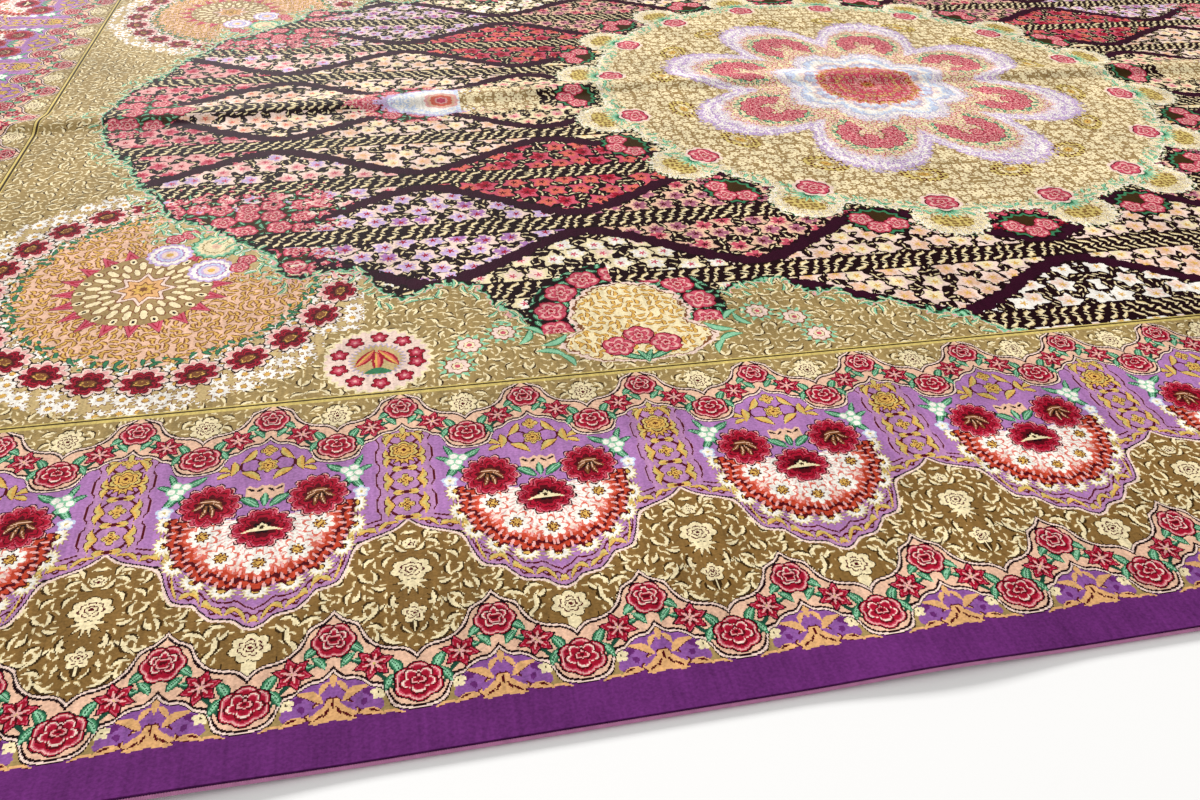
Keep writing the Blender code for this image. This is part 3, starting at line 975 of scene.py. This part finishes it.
@chart
def side_lunette(tree, ink: float, place: Vector):
    """A cream arch of gold leaves over three pink roses, under a ring of roses."""
    across, out, _ = add_node(tree, "ShaderNodeSeparateXYZ", [local(tree, place, (4.84, 5.45), 1.0)]).outputs
    # One half of the arch is drawn, and the other is its mirror image.
    x = work_out(tree, "absolute(across)", across=across)
    y = work_out(tree, "-out", out=out)
    half = add_node(tree, "ShaderNodeCombineXYZ", [x, y]).outputs[0]
    radius = add_node(tree, "ShaderNodeVectorMath", [half], operation="LENGTH").outputs["Value"]
    angle = work_out(tree, "arctan2(x, y)", x=x, y=y)
    uneven = fray(tree, place, 0.06)
    dark = work_out(tree, "(radius + 0.3 * uneven < 0.97) * (y > -0.16)", radius=radius, y=y, uneven=uneven)
    ink = lay(tree, ink, dark, "outline")
    ring = scatter_leaves(tree, ink, place, 0.11, (0.085, 0.032), GREEN_LEAF, 0.8, 0.5, 2.0)
    ink = lay(tree, ink, work_out(tree, "(radius < 0.95) * (y > -0.2)", radius=radius, y=y), ring)
    spoke, _ = fold(tree, radius, angle, 0, 0.227)
    ring = pale_rose(tree, ink, local(tree, spoke, (0, 0.74), 0.175))
    ink = lay(tree, ink, work_out(tree, "y > -0.22", y=y), ring)
    foot = work_out(tree, "sqrt(x * x * 0.65 + (y + 0.42) * (y + 0.42) * 3)", x=x, y=y)
    arch = work_out(
        tree, "minimum(radius, foot) + 0.035 * absolute(sine(6 * angle)) + 0.12 * uneven",
        radius=radius, foot=foot, angle=angle, uneven=uneven,
    )
    gold = scatter_leaves(tree, dye("cream"), place, 0.085, (0.064, 0.024), cover(
        (0.02, "brown"), (0.20, "gold"), (0.82, "brown"), (0.98, None)
    ), 1.1, 0.4, 5.0)
    ink = lay_bands(tree, ink, arch, ((0, "cream"), (0.545, "brown"), (0.565, "blush"), (0.60, None)))
    ink = lay(tree, ink, work_out(tree, "arch < 0.53", arch=arch), gold)
    for at, size, turn in (((0.14, -0.66), (0.14, 0.045), 25), ((0.02, -0.68), (0.11, 0.036), 70)):
        ink = leaf(tree, ink, half, at, size, turn, GREEN_LEAF, 0.3)
    for at in ((0, -0.36), (0.22, -0.50)):
        ink = pale_rose(tree, ink, local(tree, half, at, 0.16))
    mint_leaf = cover((0.04, "green"), (0.2, "mint"), (0.8, "green"), (0.96, None))
    for at, size, turn in (
        ((0.75, -0.35), (0.15, 0.05), 150),
        ((0.82, -0.48), (0.14, 0.045), 20),
        ((0.68, -0.62), (0.12, 0.04), 60),
        ((1.0, -0.25), (0.13, 0.045), 120),
        ((0.92, -0.12), (0.12, 0.04), 40),
    ):
        ink = leaf(tree, ink, half, at, size, turn, mint_leaf, 0.9)
    for at, petals in (((1.21, -0.13), 8), ((1.53, -0.28), 7), ((1.66, -0.58), 8)):
        ink = flower(tree, ink, half, at, 0.19, 12, 0.35, (
            (0, "green"), (0.6, "mint"), (0.97, None),
        ), pointed=True)
        ink = flower(tree, ink, half, at, 0.135, petals, 0.22, (
            (0, "rose"), (0.2, "cream"), (0.36, "brown"), (0.42, "blush"), (0.80, "brown"), (0.94, None),
        ))
    return ink


@chart
def tulip_wreath(tree, ink: float, place: Vector):
    """A small round wreath of red flowers on cream, with three tulips in it."""
    radius, angle = polar(tree, place, (7.17, 5.83))
    frill = work_out(tree, "radius + 0.02 * sine(30 * angle)", radius=radius, angle=angle)
    ink = lay_bands(tree, ink, frill, (
        (0, "sand"), (0.21, "grey"), (0.23, "blush"), (0.44, "cream"), (0.47, None),
    ))
    spoke, _ = fold(tree, radius, angle, 0.32, 0.327)
    ink = flower(tree, ink, spoke, (0, 0.34), 0.088, 5, 0.35, (
        (0, "pink"), (0.2, "rose"), (0.5, "crimson"), (0.85, "maroon"), (0.98, None),
    ))
    for at, turn in (((7.17, 5.85), 90), ((7.27, 5.80), 55), ((7.07, 5.80), 125)):
        ink = leaf(tree, ink, place, at, (0.15, 0.055), turn, cover(
            (0.04, "crimson"), (0.28, "gold"), (0.5, "coral"), (0.72, "crimson"), (0.96, None)
        ), 0.2)
    return leaf(tree, ink, place, (7.17, 5.99), (0.12, 0.05), 0, cover((0.05, "green"), (0.95, None)), -0.5)


# The edge of a petal of the medallion's star: the turn from the petal's middle, and how far out it lies.
STAR_EDGE = ((0, 2.85), (0.1, 2.8), (0.19, 2.66), (0.27, 2.42), (0.33, 2.15), (0.3927, 1.9))
# Half the turn from one lobe of the rim to the next, and from one petal of the star to the next.
HALF_LOBE = math.pi / 16
HALF_PETAL = math.pi / 8


@chart
def medallion_rim(tree, ink: float, place: Vector):
    """The medallion's sixteen lobes, each with a fan and a pink flower, and rose clusters between them."""
    radius, angle = polar(tree, place, (0, 0))
    uneven = fray(tree, place, 0.055)
    notch, _ = fold(tree, radius, angle, 0, HALF_LOBE)
    ink = flower(tree, ink, notch, (0, 4.36), (0.42, 0.34), 15, 0.16, (
        (0, "bark"), (0.74, "green"), (0.86, "outline"), (0.98, None),
    ), pointed=True)
    for at in ((0.20, 4.36), (0, 4.50)):
        ink = pale_rose(tree, ink, local(tree, notch, at, 0.15))
    spoke, _ = fold(tree, radius, angle, HALF_LOBE, HALF_LOBE)
    lobe = add_node(tree, "ShaderNodeVectorMath", [local(tree, spoke, (0, 4.12), 1.0)], operation="LENGTH")
    depth = work_out(
        tree, "maximum(0.43 - lobe, 4.0 - radius) + 0.5 + 0.26 * uneven",
        lobe=lobe.outputs["Value"], radius=radius, uneven=uneven,
    )
    lace = scatter_flowers(tree, dye("cream"), place, 0.07, 0.03, 5, 0.3, (
        (0, "sand"), (0.4, "ivory"), (0.75, "tan"), (0.98, None)
    ), shift=7.0)
    ink = lay_bands(tree, ink, depth, cover(
        (0.465, "outline"), (0.485, "green"), (0.495, "cream"), (0.51, "ivory")
    ))
    ink = lay(tree, ink, work_out(tree, "depth > 0.53", depth=depth), lace)
    deep = work_out(tree, "depth + 0.3 * uneven > 0.68", depth=depth, uneven=uneven)
    ink = lay(tree, ink, deep, blossoms(tree, place))
    greens = scatter_leaves(tree, ink, place, 0.12, (0.090, 0.028), cover(
        (0.04, "green"), (0.22, "mint"), (0.78, "green"), (0.96, None)
    ), 0.9, 0.3, 3.0)
    leafy = work_out(tree, "(absolute(depth - 0.62) < 0.07) * (radius < 4.12)", depth=depth, radius=radius)
    ink = lay(tree, ink, leafy, greens)
    dotted = scatter_flowers(tree, dye("straw"), place, 0.062, 0.024, 4, 0.1, (
        (0, "olive"), (0.98, None),
    ), shift=3.0)
    fan = local(tree, spoke, (0, 4.22), (0.25, 0.14))
    fan_reach = add_node(tree, "ShaderNodeVectorMath", [fan], operation="LENGTH").outputs["Value"]
    ink = lay(tree, ink, work_out(tree, "reach + 0.5 * uneven < 1", reach=fan_reach, uneven=uneven), dotted)
    ink = flower(tree, ink, spoke, (0, 3.97), (0.27, 0.20), 16, 0.55, (
        (0, "pine"), (0.25, "green"), (0.5, "mint"), (0.97, None),
    ), pointed=True)
    ink = flower(tree, ink, spoke, (0, 3.76), (0.26, 0.23), 9, 0.15, ((0, "blush"), (0.97, None)))
    ink = pale_rose(tree, ink, local(tree, spoke, (0, 3.76), (0.215, 0.19)))
    across, out, _ = add_node(tree, "ShaderNodeSeparateXYZ", [spoke]).outputs
    crumbs = work_out(
        tree, "absolute(sqrt(across * across * 0.4 + (out - 3.02) * (out - 3.02)) - 0.15) < 0.04",
        across=across, out=out,
    )
    crumbled = scatter_flowers(tree, dye("straw"), place, 0.06, 0.022, 4, 0.1, (
        (0, "maroon"), (0.98, None),
    ), shift=3.0)
    ink = lay(tree, ink, crumbs, crumbled)
    return flower(tree, ink, spoke, (0, 3.02), (0.12, 0.07), 8, 0.3, (
        (0, "brown"), (0.25, "gold"), (0.62, "brown"), (0.72, "straw"), (0.97, None),
    ))


@chart
def medallion_star(tree, ink: float, place: Vector):
    """The medallion's star: eight round petals, each with a garland, about a white ring and a red disc."""
    radius, angle = polar(tree, place, (0, 0))
    spoke, turn = fold(tree, radius, angle, HALF_PETAL, HALF_PETAL)
    edge = line_through(tree, turn, STAR_EDGE)
    fuzz = work_out(
        tree, "0.7 * coarse + 0.5 * fine",
        coarse=fray(tree, place, 0.09), fine=fray(tree, place, 0.028, 0.0),
    )
    rim = work_out(tree, "(edge - radius + 0.4 + 0.5 * fuzz) * 0.8", edge=edge, radius=radius, fuzz=fuzz)
    fill = scatter_flowers(tree, dye("cream"), place, 0.105, 0.058, 5, 0.3, (
        (0, "gold"), (0.25, "blush"), (0.60, "rose"), (0.80, "tan"), (0.97, None),
    ), shift=6.0)
    ink = lay(tree, ink, work_out(tree, "rim > 0.5", rim=rim), fill)
    ink = lay_bands(tree, ink, rim, cover(
        (0.19, "grey"), (0.22, "lilac"), (0.26, "orchid"), (0.28, "ivory"), (0.35, "lilac"), (0.39, "orchid"),
        (0.405, "grey"), (0.42, "ivory"), (0.48, "lilac"), (0.51, "blush"), (0.55, "violet"), (0.56, None),
    ))
    # The garland: roses in a bow that is open towards the middle, with green leaves round them.
    bend, way = polar(tree, spoke, (0, 1.86))
    off = work_out(tree, "absolute(way - quarter)", way=way, quarter=QUARTER_TURN)
    closed = work_out(tree, "off < 2.5", off=off)
    leafy = scatter_leaves(tree, dye("cream"), place, 0.085, (0.07, 0.026), GREEN_LEAF, 0.6, 0.5, 8.0)
    wreath = work_out(
        tree, "(absolute(bend - 0.36 + 0.4 * fuzz) < 0.17) * closed", bend=bend, closed=closed, fuzz=fuzz
    )
    ink = lay(tree, ink, wreath, leafy)
    bow, _ = fold(tree, bend, way, QUARTER_TURN, 0.24)
    roses = pale_rose(tree, ink, local(tree, bow, (0, 0.37), 0.108))
    roses = pale_rose(tree, roses, local(tree, bow, (0.08, 0.24), 0.10))
    ink = lay(tree, ink, closed, roses)
    ink = pale_rose(tree, ink, local(tree, spoke, (0, 1.97), 0.11))
    inner = work_out(
        tree, "(radius * (1 + 1.56 * turn * turn) + 0.45 * fuzz) * 0.5", radius=radius, turn=turn, fuzz=fuzz
    )
    ink = lay_bands(tree, ink, inner, (
        (0, "ivory"), (0.40, "ice"), (0.44, "grey"), (0.47, "blush"), (0.50, "ivory"), (0.55, "ice"),
        (0.59, "grey"), (0.61, "ivory"), (0.65, "lilac"), (0.67, "ivory"), (0.69, "grey"), (0.71, None),
    ))
    rays = work_out(
        tree, "radius + 0.06 * absolute(sine(16 * angle)) + 0.3 * fuzz", radius=radius, angle=angle, fuzz=fuzz
    )
    disc = scatter_flowers(tree, dye("rose"), place, 0.10, 0.055, 5, 0.3, (
        (0, "gold"), (0.22, "maroon"), (0.42, "pink"), (0.62, "crimson"), (0.96, None),
    ), shift=2.0)
    ink = lay(tree, ink, work_out(tree, "rays < 0.72", rays=rays), disc)
    return lay_bands(tree, ink, rays, (
        (0, "maroon"), (0.06, "gold"), (0.10, "crimson"), (0.17, "pink"), (0.21, None), (0.45, "straw"),
        (0.48, None), (0.62, "pink"), (0.65, "crimson"), (0.70, "straw"), (0.74, "rose"), (0.78, "blush"),
        (0.81, None),
    ))


@chart
def rose_panel(tree, ink: float, place: Vector):
    """The panels of pink roses next to the corners and at the ends of the middle row."""
    x, y, _ = add_node(tree, "ShaderNodeSeparateXYZ", [place]).outputs
    uneven = work_out(tree, "2 * noise", noise=fray(tree, place, 0.09))
    by_corner = work_out(
        tree, "(x + uneven > 7.72) * (y + uneven > 2.55) * (y < 4.4) * (absolute(y - 3.57) > 0.17)",
        x=x, y=y, uneven=uneven,
    )
    at_end = work_out(
        tree, "(x > 9.3 + 0.9 * y) * (y + uneven < 0.62) * (x < 10.1 + y)", x=x, y=y, uneven=uneven
    )
    panel = work_out(tree, "maximum(by_corner, at_end)", by_corner=by_corner, at_end=at_end)
    return lay(tree, ink, panel, rose_bed(tree, place))


def field_plain(tree, x, y):
    """The field where nothing lies over the lattice."""
    return leaf_lattice(tree, add_node(tree, "ShaderNodeCombineXYZ", [x, y]).outputs[0])


def field_middle(tree, x, y):
    """The middle of the field, with the medallion."""
    place = add_node(tree, "ShaderNodeCombineXYZ", [x, y]).outputs[0]
    return medallion_star(tree, medallion_rim(tree, leaf_lattice(tree, place), place), place)


def field_side(tree, x, y):
    """The field beside the medallion, with the pendants at its ends and the arches on its long sides."""
    place = add_node(tree, "ShaderNodeCombineXYZ", [x, y]).outputs[0]
    ground = tan_ground(tree, place)
    ink = spandrel(tree, pendant(tree, leaf_lattice(tree, place), place), ground, place)
    return tulip_wreath(tree, side_lunette(tree, ink, place), place)


def field_end(tree, x, y):
    """The field's ends, with the great rosettes in its corners."""
    place = add_node(tree, "ShaderNodeCombineXYZ", [x, y]).outputs[0]
    ground = corner_rosette(tree, tan_ground(tree, place), place)
    return spandrel(tree, rose_panel(tree, leaf_lattice(tree, place), place), ground, place)


ZONES = (
    ("silk_pile_guard", plain_guard),
    ("silk_pile_outer_border", outer_border),
    ("silk_pile_inner_border", inner_border),
    ("silk_pile_field_middle", field_middle),
    ("silk_pile_field_side", field_side),
    ("silk_pile_field_end", field_end),
    ("silk_pile_field_plain", field_plain),
)


def linear(hex_colour):
    """An sRGB hex colour as linear red, green, blue and an alpha of one."""
    parts = [int(hex_colour[i:i + 2], 16) / 255 for i in (1, 3, 5)]
    return (*[c / 12.92 if c <= 0.04045 else ((c + 0.055) / 1.055) ** 2.4 for c in parts], 1.0)


def knotted_silk(name, draw):
    """Cut silk pile: one dyed knot beside another, matt, with the small unevenness of handwork, and with
    painted streaks and patches of sheen.
    """
    material = bpy.data.materials.new(name)
    material.use_nodes = True
    tree = material.node_tree
    tree.nodes.clear()
    spot = add_node(tree, "ShaderNodeTexCoord").outputs["Object"]
    # The rug's four quarters mirror each other. Every place in a knot takes the place of the knot's middle.
    x, y = [
        work_out(
            tree, "(floor(absolute(way) / knot) + 0.5) * (knot / repeat)", way=way, knot=KNOT, repeat=REPEAT
        )
        for way in add_node(tree, "ShaderNodeSeparateXYZ", [spot]).outputs[:2]
    ]
    palette = add_node(tree, "ShaderNodeValToRGB", [draw(tree, x, y)])
    palette.color_ramp.interpolation = "CONSTANT"
    stops = palette.color_ramp.elements
    while len(stops) < len(DYES):
        stops.new(1.0)
    for number, (stop, colour) in enumerate(zip(stops, DYES.values())):
        stop.position = number / SHADES
        stop.color = linear(colour)
    # Silk is a little uneven from knot to knot and from skein to skein. Painted sheen lightens and darkens it
    # in
    #     streaks across the rug and in broad patches where the pile leans.
    knots = add_node(tree, "ShaderNodeTexNoise", {"Vector": spot, "Scale": 1 / KNOT_SHADE, "Detail": 2.0})
    stretch = [1 / size for size in SHEEN_STREAK_SIZE]
    streaked = add_node(tree, "ShaderNodeMapping", {"Vector": spot, "Scale": stretch}).outputs[0]
    streaks = add_node(tree, "ShaderNodeTexNoise", {"Vector": streaked, "Scale": 1.0, "Detail": 3.0})
    skeins = add_node(tree, "ShaderNodeTexNoise", {"Vector": spot, "Scale": 1 / SKEIN_SHADE, "Detail": 3.0})
    clouds = add_node(tree, "ShaderNodeTexNoise", {"Vector": spot, "Scale": 1 / LEAN_SHEEN_SIZE, "Detail": 3.0})
    # The knots and skeins are the silk's own uneven tone. The streaks and the lean patches are painted sheen.
    lightness = work_out(
        tree, "0.70 * knots + 0.62 * streaks + 0.42 * skeins + 0.62 * clouds - 0.29",
        knots=knots.outputs["Fac"], streaks=streaks.outputs["Fac"], skeins=skeins.outputs["Fac"],
        clouds=clouds.outputs["Fac"],
    )
    colour = add_node(tree, "ShaderNodeHueSaturation", {
        "Value": lightness, "Color": palette.outputs["Color"],
    })
    relief = work_out(
        tree, "knots + 0.6 * streaks", knots=knots.outputs["Fac"], streaks=streaks.outputs["Fac"]
    )
    bump = add_node(tree, "ShaderNodeBump", {"Strength": 0.4, "Distance": 0.0008, "Height": relief})
    shader = add_node(tree, "ShaderNodeBsdfPrincipled", {
        "Base Color": colour.outputs[0], "Roughness": 0.65, "Specular IOR Level": 0.015,
        "Normal": bump.outputs[0],
    })
    add_node(tree, "ShaderNodeOutputMaterial", [shader.outputs[0]])
    return material


def bell(distance, reach):
    """1 at no distance, falling smoothly to 0 at the reach."""
    return np.where(np.abs(distance) < reach, 0.5 + 0.5 * np.cos(np.pi * distance / reach), 0.0)


def floor_gap(x, y):
    """How far the underside stands off the floor: the crease and the front edge's two lifts."""
    crest = np.interp(x, [row["x"] for row in CREASE_PATH], [row["y"] for row in CREASE_PATH])
    off_crest = y - crest
    gap = CREASE_HEIGHT * np.where(off_crest > 0, bell(off_crest, CREASE_BACK), bell(off_crest, CREASE_FRONT))
    for lift in EDGE_LIFTS:
        gap += lift["height"] * bell(x - lift["x"], lift["half_length"]) * bell(y + HALF_WIDTH, LIFT_REACH)
    return gap


def lines_between(stops, step):
    """Places from the first stop to the last, at about one step from each other and on every stop."""
    runs = [np.linspace(a, b, max(2, round(abs(b - a) / step) + 1))[:-1] for a, b in zip(stops, stops[1:])]
    return np.concatenate((*runs, stops[-1:]))


def make_cloth():
    """The rug's one cloth: a grid with a line wherever one pile material ends, raised over the crease."""
    bpy.ops.object.select_all(action="DESELECT")
    pile_end = HALF_LENGTH - FLATWEAVE_WIDTH
    side = lines_between((
        0, MIDDLE_HALF, CORNER_START, END_START, FIELD_HALF_LENGTH, HALF_LENGTH - SHIELD_SPLIT,
        HALF_LENGTH - GUARD_WIDTH, pile_end - PILE_STEP, pile_end, HALF_LENGTH,
    ), CELL)
    columns = np.concatenate((-side[:0:-1], side))
    stops = (
        EDGE_Y, HALF_WIDTH - GUARD_WIDTH, HALF_WIDTH - SHIELD_SPLIT, FIELD_HALF_WIDTH, CORNER_SIDES[1],
        MIDDLE_HALF, CORNER_SIDES[0],
    )
    front = lines_between((*[-stop for stop in stops], CREASE_ROWS[0]), CELL)
    crease = lines_between(CREASE_ROWS, CREASE_CELL)
    back = lines_between((CREASE_ROWS[1], *reversed(stops)), CELL)
    rows = np.concatenate((front[:-1], crease, back[1:]))
    bpy.ops.mesh.primitive_grid_add(x_subdivisions=len(columns) - 1, y_subdivisions=len(rows) - 1, size=2)
    cloth = bpy.context.object
    cloth.name = cloth.data.name = "silk_cloth"
    mesh = cloth.data
    points = np.empty(len(mesh.vertices) * 3)
    mesh.vertices.foreach_get("co", points)
    points = points.reshape(-1, 3)
    column = np.rint((points[:, 0] + 1) / 2 * (len(columns) - 1)).astype(int)
    row = np.rint((points[:, 1] + 1) / 2 * (len(rows) - 1)).astype(int)
    points[:, 0], points[:, 1] = columns[column], rows[row]
    points[:, 2] = floor_gap(points[:, 0], points[:, 1])
    mesh.vertices.foreach_set("co", points.ravel())
    thickness = cloth.vertex_groups.new(name="thickness")
    flat = (column < 2) | (column > len(columns) - 3)
    thickness.add([int(i) for i in np.flatnonzero(~flat)], 1.0, "REPLACE")
    thickness.add([int(i) for i in np.flatnonzero(flat)], FLATWEAVE_THICKNESS / THICKNESS, "REPLACE")
    for name, draw in ZONES:
        mesh.materials.append(knotted_silk(name, draw))
    mesh.materials.append(woven_silk("flat_woven_silk", "#D9B9B4"))
    middles = np.empty(len(mesh.polygons) * 3)
    mesh.polygons.foreach_get("center", middles)
    x, y, _ = np.abs(middles.reshape(-1, 3)).T
    inward = np.minimum(HALF_LENGTH - x, HALF_WIDTH - y)
    by_corner = (x > CORNER_START) & (y > CORNER_SIDES[0]) & (y < CORNER_SIDES[1])
    zones = {
        "flat_woven_silk": x > pile_end - PILE_STEP,
        "silk_pile_guard": inward < GUARD_WIDTH,
        "silk_pile_outer_border": inward < SHIELD_SPLIT,
        "silk_pile_inner_border": inward < HALF_WIDTH - FIELD_HALF_WIDTH,
        "silk_pile_field_end": (x > END_START) | by_corner,
        "silk_pile_field_middle": (x < MIDDLE_HALF) & (y < MIDDLE_HALF),
        "silk_pile_field_plain": (y > PLAIN_SIDES[0]) & (y < PLAIN_SIDES[1]),
    }
    slots = [mesh.materials.find(name) for name in zones]
    zone = np.select(list(zones.values()), slots, mesh.materials.find("silk_pile_field_side"))
    mesh.polygons.foreach_set("material_index", zone.astype(int))
    solidify = cloth.modifiers.new("Thickness", "SOLIDIFY")
    solidify.thickness = THICKNESS
    solidify.offset = 1.0
    solidify.vertex_group = "thickness"
    bpy.ops.object.modifier_apply(modifier=solidify.name)
    bpy.ops.object.shade_smooth_by_angle(angle=math.radians(40))
    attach(cloth, "root")
    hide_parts("rug_body")
    return cloth


def woven_silk(name, hex_colour):
    """Bare or wound silk thread: smooth, with a fine rib at each thread and a soft gleam."""
    material = bpy.data.materials.new(name)
    material.use_nodes = True
    tree = material.node_tree
    tree.nodes.clear()
    spot = add_node(tree, "ShaderNodeTexCoord").outputs["Object"]
    # At a scale of one the wave repeats after a tenth of pi.
    scale = math.pi / 10 / THREAD
    ribs = add_node(
        tree, "ShaderNodeTexWave", {"Vector": spot, "Scale": scale, "Distortion": 0.6, "Detail": 1.0},
        bands_direction="X",
    ).outputs["Fac"]
    noise = add_node(tree, "ShaderNodeTexNoise", {"Vector": spot, "Scale": 1 / THREAD_SHADE, "Detail": 3.0})
    uneven = noise.outputs["Fac"]
    # Painted shade: each rib is lighter and the groove between threads darker, following the bump. The noise
    # is the thread's own uneven tone.
    lightness = work_out(tree, "0.60 + 0.22 * ribs + 0.56 * uneven", ribs=ribs, uneven=uneven)
    colour = add_node(tree, "ShaderNodeHueSaturation", {"Value": lightness, "Color": linear(hex_colour)})
    bump = add_node(tree, "ShaderNodeBump", {"Strength": 0.4, "Distance": 0.0003, "Height": ribs})
    shader = add_node(tree, "ShaderNodeBsdfPrincipled", {
        "Base Color": colour.outputs[0], "Roughness": 0.42, "Sheen Weight": 0.2, "Sheen Roughness": 0.3,
        "Normal": bump.outputs[0],
    })
    add_node(tree, "ShaderNodeOutputMaterial", [shader.outputs[0]])
    return material


def make_cord(name, side, silk):
    """The silk wound over one long edge: one wrap of thread, repeated along the rug, rising with the edge."""
    bpy.ops.object.select_all(action="DESELECT")
    bpy.ops.mesh.primitive_cone_add(
        vertices=10, radius1=CORD_RADIUS, radius2=WRAP_WAIST * CORD_RADIUS, depth=WRAP / 2,
        end_fill_type="NOTHING", location=(WRAP / 4, 0, 0), rotation=(0, QUARTER_TURN, 0),
    )
    cord = bpy.context.object
    cord.name = cord.data.name = name
    bpy.ops.object.transform_apply(location=True, rotation=True, scale=True)
    mirror = cord.modifiers.new("Other half of the wrap", "MIRROR")
    mirror.merge_threshold = WELD
    wraps = cord.modifiers.new("Wraps", "ARRAY")
    wraps.count = round(2 * HALF_LENGTH / WRAP)
    wraps.use_relative_offset = False
    wraps.use_constant_offset = True
    wraps.constant_offset_displace = (WRAP, 0, 0)
    wraps.use_merge_vertices = True
    wraps.merge_threshold = WELD
    bpy.ops.object.modifier_apply(modifier=mirror.name)
    bpy.ops.object.modifier_apply(modifier=wraps.name)
    bpy.ops.object.mode_set(mode="EDIT")
    bpy.ops.mesh.select_all(action="SELECT")
    bpy.ops.mesh.fill_holes(sides=12)
    bpy.ops.object.mode_set(mode="OBJECT")
    points = np.empty(len(cord.data.vertices) * 3)
    cord.data.vertices.foreach_get("co", points)
    points = points.reshape(-1, 3)
    x = points[:, 0] + WRAP / 2 - HALF_LENGTH
    y = side * (HALF_WIDTH - CORD_RADIUS)
    # The wraps lean, because the thread is wound on a slant.
    points[:, 0] = np.clip(x + WRAP_LEAN * points[:, 2], -HALF_LENGTH, HALF_LENGTH)
    points[:, 1] += y
    points[:, 2] += floor_gap(x, y) + CORD_LIFT + CORD_RADIUS
    cord.data.vertices.foreach_set("co", points.ravel())
    cord.data.materials.append(silk)
    bpy.ops.object.shade_smooth_by_angle(angle=math.radians(60))
    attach(cord, "root")
    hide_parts("selvedge_front" if side < 0 else "selvedge_back")
    return cord


def make_floor():
    """A plain pale floor, a hair under the rug, so that the two surfaces don't share one plane."""
    bpy.ops.object.select_all(action="DESELECT")
    bpy.ops.mesh.primitive_plane_add(size=14, location=(0, 0, -FLOOR_DROP))
    floor = bpy.context.object
    floor.name = "floor"
    material = bpy.data.materials.new("white_matte_floor")
    material.use_nodes = True
    shader = material.node_tree.nodes["Principled BSDF"]
    shader.inputs["Base Color"].default_value = linear("#F6F5F3")
    shader.inputs["Roughness"].default_value = 0.8
    floor.data.materials.append(material)


def make_camera():
    """The camera stands low over the front edge, left of the middle, and is turned a little on its axis."""
    place = (-0.702, -1.316, 0.509)
    pitch, yaw, roll = math.radians(38.24), math.radians(13.12), math.radians(2.47)
    ahead = Vector((math.sin(yaw) * math.cos(pitch), math.cos(yaw) * math.cos(pitch), -math.sin(pitch)))
    right = Vector((math.cos(yaw), -math.sin(yaw), 0))
    up = right.cross(ahead)
    turned_right = math.cos(roll) * right + math.sin(roll) * up
    turned_up = -math.sin(roll) * right + math.cos(roll) * up
    data = bpy.data.cameras.new("camera")
    data.lens = 28.58
    data.sensor_width = 36.0
    camera = bpy.data.objects.new("camera", data)
    bpy.context.scene.collection.objects.link(camera)
    facing = Matrix((turned_right, turned_up, -ahead)).transposed().to_4x4()
    camera.matrix_world = Matrix.Translation(place) @ facing
    bpy.context.scene.camera = camera


def make_light():
    """Soft studio light: a pale sky all round, and a large lamp low behind the rug that shows its crease."""
    world = bpy.data.worlds.new("studio")
    bpy.context.scene.world = world
    world.use_nodes = True
    sky = world.node_tree.nodes["Background"]
    sky.inputs["Color"].default_value = (1, 1, 1, 1)
    sky.inputs["Strength"].default_value = 0.67
    data = bpy.data.lights.new("soft_box", "AREA")
    data.shape = "RECTANGLE"
    data.size, data.size_y = 3.2, 1.6
    data.energy = 1300
    lamp = bpy.data.objects.new("soft_box", data)
    bpy.context.scene.collection.objects.link(lamp)
    lamp.location = (-2.4, 8.8, 3.75)
    aim = Vector((-0.3, 0, 0))
    lamp.rotation_euler = (aim - lamp.location).to_track_quat("-Z", "Y").to_euler()
    bpy.context.scene.view_settings.view_transform = "Standard"


make_camera()
make_light()
make_floor()
make_cloth()
edge_silk = woven_silk("wound_edge_silk", "#B8709C")
make_cord("cord_front", -1, edge_silk)
make_cord("cord_back", 1, edge_silk)
